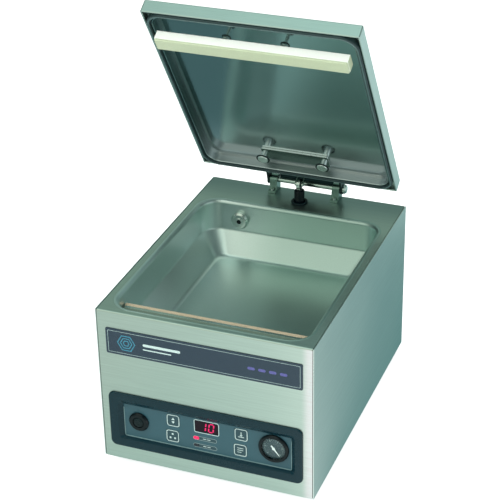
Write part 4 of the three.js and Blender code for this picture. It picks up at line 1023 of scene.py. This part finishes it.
# ---------------------------------------------------------------- floor, light and camera
def floor():
    bm = bmesh.new()
    size = 6000.0
    grid = [[bm.verts.new((x * size, y * size, -0.5)) for x in (-1, 0, 1)] for y in (-1, 0, 1)]
    for j in range(2):
        for i in range(2):
            bm.faces.new((grid[j][i], grid[j][i + 1], grid[j + 1][i + 1], grid[j + 1][i]))
    bmesh.ops.scale(bm, vec=(MM, MM, MM), verts=bm.verts)
    mesh = bpy.data.meshes.new("studio_floor")
    bm.to_mesh(mesh)
    bm.free()
    obj = placed("studio_floor", mesh)
    paper = surface("floor_paper", (0.62, 0.62, 0.62), 0.9, scale=60, tint=0.01, bump=0.0, patch=0.01)
    shader = paper.node_tree.nodes["Principled BSDF"]
    shader.inputs["Emission Color"].default_value = (1, 1, 1, 1)
    shader.inputs["Emission Strength"].default_value = 0.85
    mesh.materials.append(paper)
    obj.visible_glossy = False


def table_sheen():
    """What the steel sees in the table: brighter to the right in front, dimmer beside, bright far back."""
    bm = bmesh.new()
    corners = [bm.verts.new((x, y, -0.0004)) for x, y in ((-5, -5), (5, -5), (5, 5), (-5, 5))]
    bm.faces.new(corners)
    mesh = bpy.data.meshes.new("table_sheen")
    bm.to_mesh(mesh)
    bm.free()
    obj = placed("table_sheen", mesh)
    obj.visible_camera = obj.visible_diffuse = obj.visible_transmission = obj.visible_shadow = False
    mat = bpy.data.materials.new("table_glow")
    mat.use_nodes = True
    nodes, links = mat.node_tree.nodes, mat.node_tree.links
    nodes.remove(nodes["Principled BSDF"])
    glow = nodes.new("ShaderNodeEmission")
    links.new(glow.outputs["Emission"], nodes["Material Output"].inputs["Surface"])
    coords = nodes.new("ShaderNodeTexCoord")
    beside = (1, -0.392, 0)
    total = glow_sum(nodes, links, coords.outputs["Object"], [
        # direction, where it starts and is full, colour; the first is full everywhere
        ((0, 0, 1), -2, -1, (0.12, 0.265, 0.265)),
        ((0, -1, 0), 0.17, 0.27, (0.39, 0.385, 0.335)),
        (beside, -0.1, 0.30, (0.10, 0.10, 0.10)),
        (beside, 0.20, 0.29, (0.30, 0.27, 0.26)),
        ((0, 1, 0), 0.55, 0.95, (0.3, 0.33, 0.32)),
        ((-1, 0, 0), 0.14, 0.3, (0.035, 0.0, 0.0)),
    ])
    links.new(total, glow.inputs["Color"])
    mesh.materials.append(mat)


def studio_world():
    """A pale backdrop to the eye; a soft room with lighter and darker sides to the steel."""
    world = bpy.data.worlds.new("studio")
    bpy.context.scene.world = world
    world.use_nodes = True
    nodes, links = world.node_tree.nodes, world.node_tree.links
    background = nodes["Background"]
    coords = nodes.new("ShaderNodeTexCoord")
    lobes = [
        # direction, cosines at its start and where it is full, colour
        ((0, 0, 1), -1.0, -0.99, (0.13, 0.18, 0.165)),
        ((-0.25, -0.6, 0.75), 0.80, 0.97, (0.58, 0.6, 0.5)),
        ((0.0, -0.05, 1.0), 0.78, 0.99, (0.45, 0.64, 0.6)),
        ((-0.3, -0.85, -0.45), 0.45, 0.95, (0.42, 0.5, 0.42)),
        ((0.35, 0.8, -0.48), 0.5, 0.95, (0.14, 0.25, 0.24)),
        ((-0.32, 0.8, 0.48), 0.6, 0.98, (0.09, 0.14, 0.11)),
        ((0.95, -0.2, 0.2), 0.7, 0.98, (0.3, 0.36, 0.34)),
    ]
    aimed = [(Vector(direction).normalized(), *rest) for direction, *rest in lobes]
    total = glow_sum(nodes, links, coords.outputs["Generated"], aimed)
    path = nodes.new("ShaderNodeLightPath")
    mix = nodes.new("ShaderNodeMix")
    mix.data_type = "RGBA"
    links.new(path.outputs["Is Camera Ray"], mix.inputs["Factor"])
    links.new(total, mix.inputs["A"])
    mix.inputs["B"].default_value = (1, 1, 1, 1)
    links.new(mix.outputs["Result"], background.inputs["Color"])


def soft_light(name, place, target, size, power, colour):
    data = bpy.data.lights.new(name, "AREA")
    data.shape, data.size, data.size_y = "RECTANGLE", size[0], size[1]
    data.energy, data.color = power, colour
    obj = placed(name, data)
    obj.location = place
    obj.rotation_mode = "QUATERNION"
    obj.rotation_quaternion = (Vector(target) - Vector(place)).to_track_quat("-Z", "Y")
    obj.visible_glossy = obj.visible_camera = False


def camera():
    """The eye of the product picture: 21.5 degrees round to the right, 28.8 degrees up, a touch rolled."""
    azimuth, elevation, roll = math.radians(21.46), math.radians(28.82), math.radians(-1.11)
    distance, target = 2.407, Vector((-0.0141, 0, 0.2775))
    level = math.cos(elevation)
    forward = Vector((-math.sin(azimuth) * level, math.cos(azimuth) * level, -math.sin(elevation)))
    right = Vector((math.cos(azimuth), math.sin(azimuth), 0))
    up = right.cross(forward)
    right, up = right * math.cos(roll) + up * math.sin(roll), up * math.cos(roll) - right * math.sin(roll)
    data = bpy.data.cameras.new("camera")
    data.sensor_width, data.lens = 36.0, 115.07
    data.clip_start, data.clip_end = 0.1, 50
    obj = placed("camera", data)
    obj.matrix_world = Matrix.Translation(target - forward * distance) @ Matrix(
        ((right.x, up.x, -forward.x), (right.y, up.y, -forward.y), (right.z, up.z, -forward.z))
    ).to_4x4()
    bpy.context.scene.camera = obj


floor()
table_sheen()
studio_world()
soft_light("key_light", (-0.9, -1.6, 2.4), (0, 0, 0.3), (1.6, 1.6), 45, (1.0, 0.99, 0.96))
soft_light("fill_light", (1.8, -1.2, 1.4), (0, 0, 0.3), (1.4, 1.4), 16, (0.96, 0.99, 1.0))
soft_light("top_light", (0, 0.2, 2.6), (0, 0.1, 0.3), (1.6, 1.2), 20, (1, 1, 1))
camera()
bpy.context.scene.view_settings.view_transform = "Standard"
